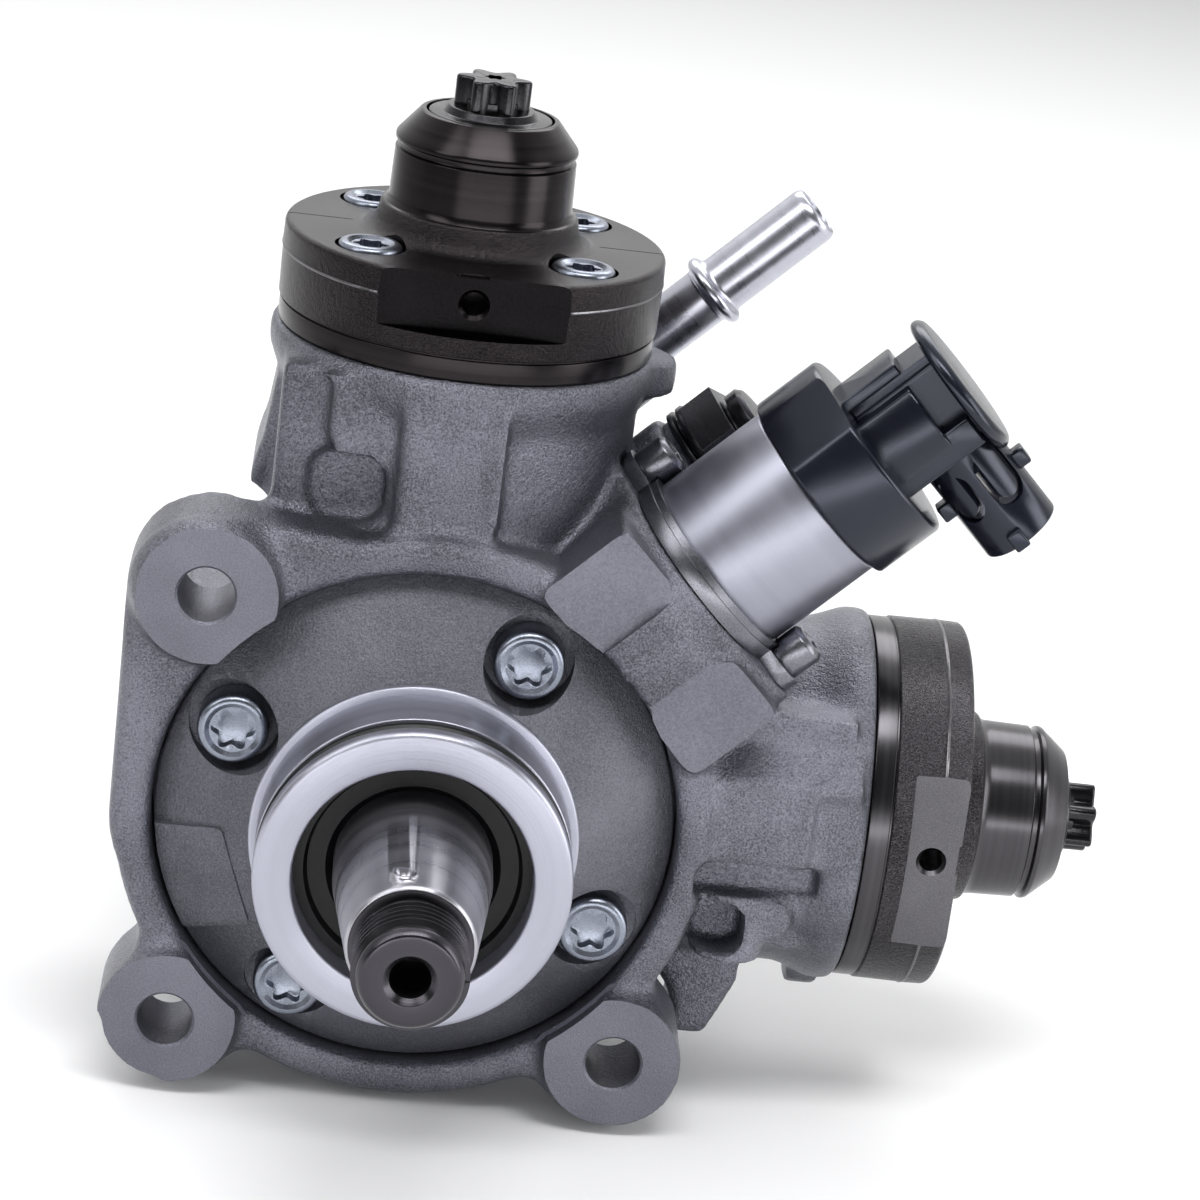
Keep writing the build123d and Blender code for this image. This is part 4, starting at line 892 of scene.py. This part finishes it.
rest = bmesh.new()
rest.from_mesh(nodes["drive_shaft"].data)
bmesh.ops.transform(rest, matrix=shaft_frame.inverted(), verts=rest.verts[:])
bmesh.ops.remove_doubles(rest, verts=rest.verts[:], dist=0.002)
bmesh.ops.bisect_plane(rest, geom=rest.verts[:] + rest.edges[:] + rest.faces[:], plane_co=(0, 0, joint),
    plane_no=(0, 0, -1), clear_outer=True)
bmesh.ops.holes_fill(rest, edges=[e for e in rest.edges if e.is_boundary], sides=0)
face_out(rest)


def join(parts, name, material):
    """One object from several finished objects, which are used up."""
    bm = bmesh.new()
    for part in parts:
        mesh = part.data
        bm.from_mesh(mesh)
        bpy.data.objects.remove(part)
        bpy.data.meshes.remove(mesh)
    return as_object(bm, name, material)


shaft = join([front, as_object(ridge, "ridge"), as_object(rest, "rest")], "drive_shaft_steel", shaft_steel)
paint(shaft, thread_steel, where=lambda c: c.z < relief_end - 0.05)
# The walls and floor of the centre hole get the near-black finish: painted shade.
paint(shaft, centre_hole_painted_shade, where=lambda c: tip + 0.5 < c.z < tip + 14 and math.hypot(c.x, c.y) < 3.4)
settle(shaft, shaft_frame, ("drive_shaft",), smooth=28, body="shaft")

# %% [markdown]
# ## Cylinder heads
#
# A head is a thick steel disc with a tower, blackened by heat. The disc's foot is a turned
# band, the skin above it is rougher, and a flat with a closed drilling is milled on the front.
# The two heads are the same piece, so one function makes it in upright millimetres.

# %% Head
head_top, head_r, band_r, band_top = 89.5, 31.0, 30.5, 77.0
tower_r, cone_start, tower_top = 14.7, 105.0, 109.3
plug_r, plug_floor, valve_bore_r, chamber = 10.0, 105.6, 7.0, 84.0
head_screw_spots = [(sx * 16.9, sy * 15.0) for sx in (-1, 1) for sy in (-1, 1)]
flat_half, flat_depth, flat_bottom = 15.4, 4.0, 80.3
outlet_height, union_seat, union_hex = 82.2, 29.3, 14.0
head_pocket_depth = 3.8
parting_low, parting_high = 84.98, 85.47    # the worn line round the disc


def make_head(name, skin, turned, milled, worn):
    """Cylinder head with its bores, pockets and flat, in four finishes."""
    head = as_object(lathe([
        (3.29, 50.0), (7.4, 50.0, 0.5), (7.4, 64.0), (18.0, 64.0, 0.3), (18.0, 66.5), (16.2, 66.5),
        (16.2, 69.5), (18.0, 69.5),
        (18.0, head_seat), (band_r, head_seat, 0.3), (band_r, band_top - 0.2, 0.1),
        (band_r - 0.3, band_top - 0.1), (band_r - 0.3, band_top + 0.1),
        (head_r - 0.25, band_top + 0.3, 0.15), (head_r - 0.15, 85.0), (head_r, 85.2), (head_r - 0.1, 85.45),
        (head_r - 0.2, head_top, 0.9),
        (18.4, head_top, 1.0), (16.6, 90.6, 1.4), (15.9, 94.0, 0.4), (15.3, 94.15, 0.2),
        (tower_r + 0.1, 95.0, 0.5), (tower_r - 0.1, 102.9, 0.1),
        (tower_r - 0.8, 103.1, 0.15), (tower_r - 0.8, 104.0, 0.15), (tower_r, 104.25, 0.15),
        (tower_r, cone_start, 0.3),
        (11.1, tower_top, 0.3), (plug_r + 0.35, tower_top), (plug_r + 0.35, plug_floor),
        (valve_bore_r, plug_floor), (valve_bore_r, chamber),
        (3.29, chamber)], 192), name, skin)
    flat = rounded_prism(oblong(-flat_half, flat_half, flat_bottom, head_top + 8), -8.0, 0.0, 1.4, 4)
    bmesh.ops.transform(flat, verts=flat.verts[:], matrix=Matrix.Translation((0, flat_depth - head_r,
        0)) @ rotated(90, "X")
                        @ Matrix.Scale(-1, 4, (0, 0, 1)))
    face_out(flat)
    combine(head, [as_object(flat, "flat")], material=milled)
    sideways = Matrix.Translation((0, 0, (flat_bottom + head_top) / 2)) @ rotated(90, "X")
    tools = [as_object(lathe([(0, 18.0), (1.9, 18.0), (1.9, 26.3), (2.5, 27.0), (2.5, 30), (0, 30)], 48),
        "drilling", None, sideways)]
    mark = rounded_prism(oblong(-2.6, 2.6, -4.2, 1.3), head_top - 0.35, head_top + 3, 1.2, 4)
    bmesh.ops.translate(mark, verts=mark.verts[:], vec=(-0.6, flat_depth - head_r, 0))
    tools.append(as_object(mark, "mark"))
    for spot in head_screw_spots:
        tools.append(as_object(pillar(6.6, head_seat - 1, head_top - 3, spot, 48), "hole"))
        tools.append(as_object(pillar(11.3, head_top - head_pocket_depth, head_top + 5, spot, 72), "pocket"))
    port = Matrix.Translation((0, 0, outlet_height)) @ rotated(-90, "X")
    bore = lathe([(0, -0.5), (1.0, -0.5), (1.0, 12.0), (2.7, 13.0), (2.7, 20.3), (6.03, 20.3),
        (6.03, union_seat),
                  (union_hex / math.sqrt(3) + 0.6, union_seat), (union_hex / math.sqrt(3) + 0.6, 36.0),
                  (0, 36.0)], 72)
    tools.append(as_object(bore, "port", None, port))
    for side in (-1, 1):
        tools.append(as_object(block((11.0, 0.3, 0.5), (side * 25.5, 0.5, head_top)), "scribe"))
    combine(head, tools, material=turned)
    paint(head, turned, where=lambda c: c.z < band_top + 0.15 or (c.z > 94.05 and math.hypot(c.x,
        c.y) < tower_r + 0.9)
          or (c.z > head_top - 0.05 and 18.3 < math.hypot(c.x, c.y) < head_r - 1.0))
    paint(head, worn, where=lambda c: parting_low < c.z < parting_high and math.hypot(c.x,
        c.y) > head_r - 0.2)
    soften(head, 0.25, worn=worn)
    return head


# %% Head finishes and the two heads
# Both heads are the same blackened steel. The upper head's three finishes are darker, as painted shade, and
# the side head's are lighter, as painted light.
upper_skin_painted_shade = cast_finish("upper_skin_painted_shade", (0.010, 0.0088, 0.0092), (0.040, 0.035, 0.037), 1300.0, 0.00030,
    (0.15, 0.30), 1.0)
upper_turned_painted_shade = turned_finish("upper_turned_painted_shade", upper_frame, (0.014, 0.012, 0.0125), (0.034, 0.030, 0.0315),
    6000.0, 0.00001, (0.20, 0.30), brushed="Z")
upper_milled_painted_shade = cast_finish("upper_milled_painted_shade", (0.004, 0.004, 0.004), (0.010, 0.009, 0.010), 1500.0, 0.00002,
    (0.26, 0.36), 1.0)
side_skin_painted_light = cast_finish("side_skin_painted_light", (0.018, 0.0165, 0.0185), (0.090, 0.086, 0.094), 1100.0, 0.00075,
    (0.14, 0.30), 1.0)
side_turned_painted_light = turned_finish("side_turned_painted_light", side_frame, (0.045, 0.043, 0.047), (0.095, 0.092, 0.099), 5000.0,
    0.00001, (0.22, 0.36), brushed="X")
side_milled_painted_light = cast_finish("side_milled_painted_light", (0.085, 0.083, 0.090), (0.145, 0.141, 0.153), 1500.0, 0.00003,
    (0.30, 0.42), 1.0)
worn_edge = cast_finish("worn_edge", (0.10, 0.097, 0.103), (0.24, 0.235, 0.245), 1500.0, 0.00003,
    (0.24, 0.36), 1.0)

for prefix, cylinder, *finishes in (("upper", upper_frame, upper_skin_painted_shade, upper_turned_painted_shade, upper_milled_painted_shade),
                                    ("side", side_frame, side_skin_painted_light, side_turned_painted_light, side_milled_painted_light)):
    settle(make_head(prefix + "_head_steel", *finishes, worn_edge), cylinder,
        (prefix + "_cylinder_head",), 25)

# %% Head screws and valve plugs
head_screw_seat = head_top - head_pocket_depth
spud_top = 115.3
for cylinder, prefix in ((upper_frame, "upper"), (side_frame, "side")):
    one = screw("screw", 10.2, 4.5, 6.0, 26.0, 5.7, 0.9, zinc_steel if prefix == "upper" else dark_steel)
    spots = [Matrix.Translation((*spot, head_screw_seat)) for spot in head_screw_spots]
    settle(copies(one, spots, prefix + "_head_cap_screws"), cylinder,
        (prefix + "_head_screws",))
    plug = as_object(lathe([
        (0, 104.1), (4.2, 104.1), (4.2, 99.1), (valve_bore_r - 0.03, 99.1, 0.4),
        (valve_bore_r - 0.03, plug_floor), (plug_r, plug_floor),
        (plug_r, tower_top, 0.4), (7.6, tower_top, 0.2), (7.0, tower_top + 1.2, 0.2), (4.4, tower_top + 1.2),
        (4.4, tower_top + 2.4),
        (0, tower_top + 2.4)], 96), prefix + "_plug_steel", dark_steel)
    spud = as_object(lobed(12.1, 7.7, tower_top + 0.4, spud_top), "spud")
    soften(spud, 0.5, 3, 60)
    combine(spud, [as_object(lobed(3.4, 2.4, spud_top - 1.6, spud_top + 1, steps=48), "punch")])
    combine(plug, [spud], "UNION")
    settle(plug, cylinder, (prefix + "_valve_plug",))

# %% [markdown]
# ## Metering valve and its neighbours
#
# The valve is a plain bright can held by a plate with two screws, with a black moulded
# connector on its end. Beside it stand the overflow valve and the bright inlet tube, whose bead
# holds the hose.

# %% Redressed CAD pieces
def redressed(name, matrix, material, bevel):
    """Upright copy of a CAD node, its flat faces made whole and its edges softened."""
    bm = bmesh.new()
    bm.from_mesh(nodes[name].data)
    bmesh.ops.transform(bm, matrix=matrix.inverted(), verts=bm.verts[:])
    bmesh.ops.remove_doubles(bm, verts=bm.verts[:], dist=0.002)
    bmesh.ops.dissolve_limit(bm, angle_limit=math.radians(1.0), verts=bm.verts[:], edges=bm.edges[:])
    return soften(as_object(bm, name + "_dressed", material), bevel)


can_r, can_start, can_end = 15.35, 62.0, 83.0
can = as_object(lathe([
    (1.6, 45.0), (8.92, 45.0, 0.5), (8.92, 47.8), (7.32, 47.8), (7.32, 50.2), (8.92, 50.2), (8.92, 54.3),
    (7.32, 54.3), (7.32, 56.7),
    (8.92, 56.7), (8.92, can_start), (can_r - 0.5, can_start), (can_r, can_start + 0.6, 0.4),
    (can_r, can_end, 0.8), (0, can_end), (0, 64.0),
    (3.04, 64.0), (3.04, 48.0), (1.6, 48.0)], 160), "metering_can", can_steel)
settle(can, metering_frame, ("metering_valve_body",))
for name, matrix, material, bevel, slot in (
        ("metering_valve_flange", metering_frame, plate_steel, 0.35, "machined_aluminium"),
        ("metering_valve_screws", metering_frame, plate_steel, 0.15, "zinc_plated_steel"),
        ("overflow_valve_body", overflow_frame, valve_steel, 0.2, "zinc_plated_steel")):
    settle(redressed(name, matrix, material, bevel), matrix, (name,))
nipple = as_object(lathe([
    (3.6, 57.0), (4.95, 57.0), (4.95, 83.4, 0.5), (6.3, 84.0, 0.6), (6.5, 84.8, 0.4), (6.3, 85.6, 0.6),
    (4.95, 86.2, 0.5), (4.95, 105.9, 0.5),
    (4.4, 106.8, 0.3), (3.6, 106.8, 0.2)], 96), "inlet_tube", tube_steel)
settle(nipple, nipple_frame, ("inlet_nipple",))

# %% [markdown]
# ## Connector
#
# The connector is one plastic moulding: a ring with a flat that grips the can, a round body
# under a thin cover, an end disc, and a socket that points sideways with two sprung tongues.
# Each form is drawn as its own solid and they are joined one by one. A tongue is a U-shaped
# slot through the socket's wall, cut with the difference of two rounded prisms.

# %% Connector forms
cap_r, cap_end, cap_flat, cap_turn = 16.7, 95.0, 15.6, 216.0
disc_low, disc_high, disc_r = 110.0, 112.4, 12.4
socket_height, socket_r, socket_wall, socket_reach = 104.3, 6.7, 1.2, 26.0


def moulded(bm, rounding):
    """One form of the connector, its edges rounded."""
    return soften(as_object(bm, "form", black_plastic), rounding, 3)


connector = moulded(lathe([(0, can_end), (cap_r, can_end, 0.5), (cap_r, cap_end, 0.9), (0, cap_end)], 128),
    0.0001)
facet = block((10.0, 40.0, 14.0), (cap_flat + 5.0, 0, (can_end + cap_end) / 2))
bmesh.ops.rotate(facet, verts=facet.verts[:], cent=(0, 0, 0),
    matrix=Matrix.Rotation(math.radians(cap_turn), 3, "Z"))
combine(connector, [as_object(facet, "facet")])
soften(connector, 0.3)
body = as_object(pillar(19.6, cap_end - 0.5, 105.0, steps=96), "body", black_plastic)
combine(body, [as_object(block((6.0, 24.0, 14.0), (-9.4, 0, 100.0)), "shave")])
soften(body, 0.5, 3)
forms = [
    body,
    moulded(block((2.1, 9.6, 10.7), (-9.35, 0.6, 99.85)), 0.4),
    moulded(block((1.9, 9.6, 15.6), (-7.45, 0.6, 102.8)), 0.3),
    moulded(block((14.0, 11.5, 16.0), (0.0, 0.6, 103.0)), 0.4),
    moulded(block((5.2, 9.0, 15.0), (5.3, -3.8, 102.0)), 0.5),
    moulded(lathe([(0, disc_low), (disc_r - 0.6, disc_low, 0.5), (disc_r, disc_low + 0.6, 0.3),
    (disc_r, disc_high - 0.9, 0.4),
                   (disc_r - 0.9, disc_high, 0.4), (0, disc_high)], 128), 0.0001)]
for form in forms:
    combine(connector, [form], "UNION")

sideways = Matrix.Translation((0, 0, socket_height)) @ rotated(90, "Y")
socket = as_object(lathe([(0, 4.0), (socket_r, 4.0), (socket_r, socket_reach, 0.4),
    (socket_r - socket_wall, socket_reach, 0.3),
                          (socket_r - socket_wall, 12.0), (0, 12.0)], 96), "socket", black_plastic, sideways)


def tongue_slot(tilt, start, end, width):
    """U-shaped slot round a sprung tongue in the socket's wall, tilt degrees from the front."""
    def stadium(half, low, high):
        return rounded_prism(oblong(low, high, -half, half), 4.9, 8.0, half - 0.05, 5)
    slot = as_object(stadium(width / 2, start, end), "slot")
    combine(slot, [as_object(stadium(width / 2 - 1.15, start - 6.0, end - 1.15), "tongue")])
    slot.data.transform(Matrix.Translation((0, 0, socket_height)) @ rotated(-tilt, "X")
                        @ rotated(90, "X"))
    return slot


combine(socket, [tongue_slot(30, 9.0, 19.5, 6.2), tongue_slot(-38, 9.5, 18.8, 6.0)])
soften(socket, 0.12)
combine(connector, [socket], "UNION")
for form in (block((3.0, 3.2, 2.4), (15.5, -0.6, socket_height + socket_r + 0.6)),
        block((3.0, 3.2, 2.4), (15.5, -0.6, socket_height - socket_r - 0.6)),
             block((3.4, 2.0, 2.6), (24.6, -socket_r - 0.2, socket_height - 0.6))):
    combine(connector, [moulded(form, 0.4)], "UNION")
connector.name = connector.data.name = "metering_connector"
settle(connector, metering_frame, ("metering_valve_connector",), 30)

# %% Finishes of the pieces that stay as CAD solids
# Leftover CAD nodes of blackened steel take the upper head's darker turned finish, which carries painted
# shade.
slot_finish = {
    "cast_aluminium": cast_aluminium, "machined_aluminium": milled_aluminium, "blackened_steel": upper_turned_painted_shade,
    "shaft_steel": shaft_steel, "zinc_plated_steel": zinc_steel, "hardened_steel": dark_steel,
    "spring_steel": spring_steel,
    "bearing_bronze": bronze, "black_plastic": black_plastic, "seal_rubber": black_rubber,
    "terminal_metal": terminal_tin}
slots = {part["node"]: part["material_slot"] for part in frame["record"]["subparts"]}
for name, node in nodes.items():
    node.data.materials.clear()
    node.data.materials.append(slot_finish[slots[name]])
print("finishes on", len(nodes), "CAD nodes")

# %% Sizes and finish
low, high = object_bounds()
print("visual box", [round(c, 4) for c in high - low])
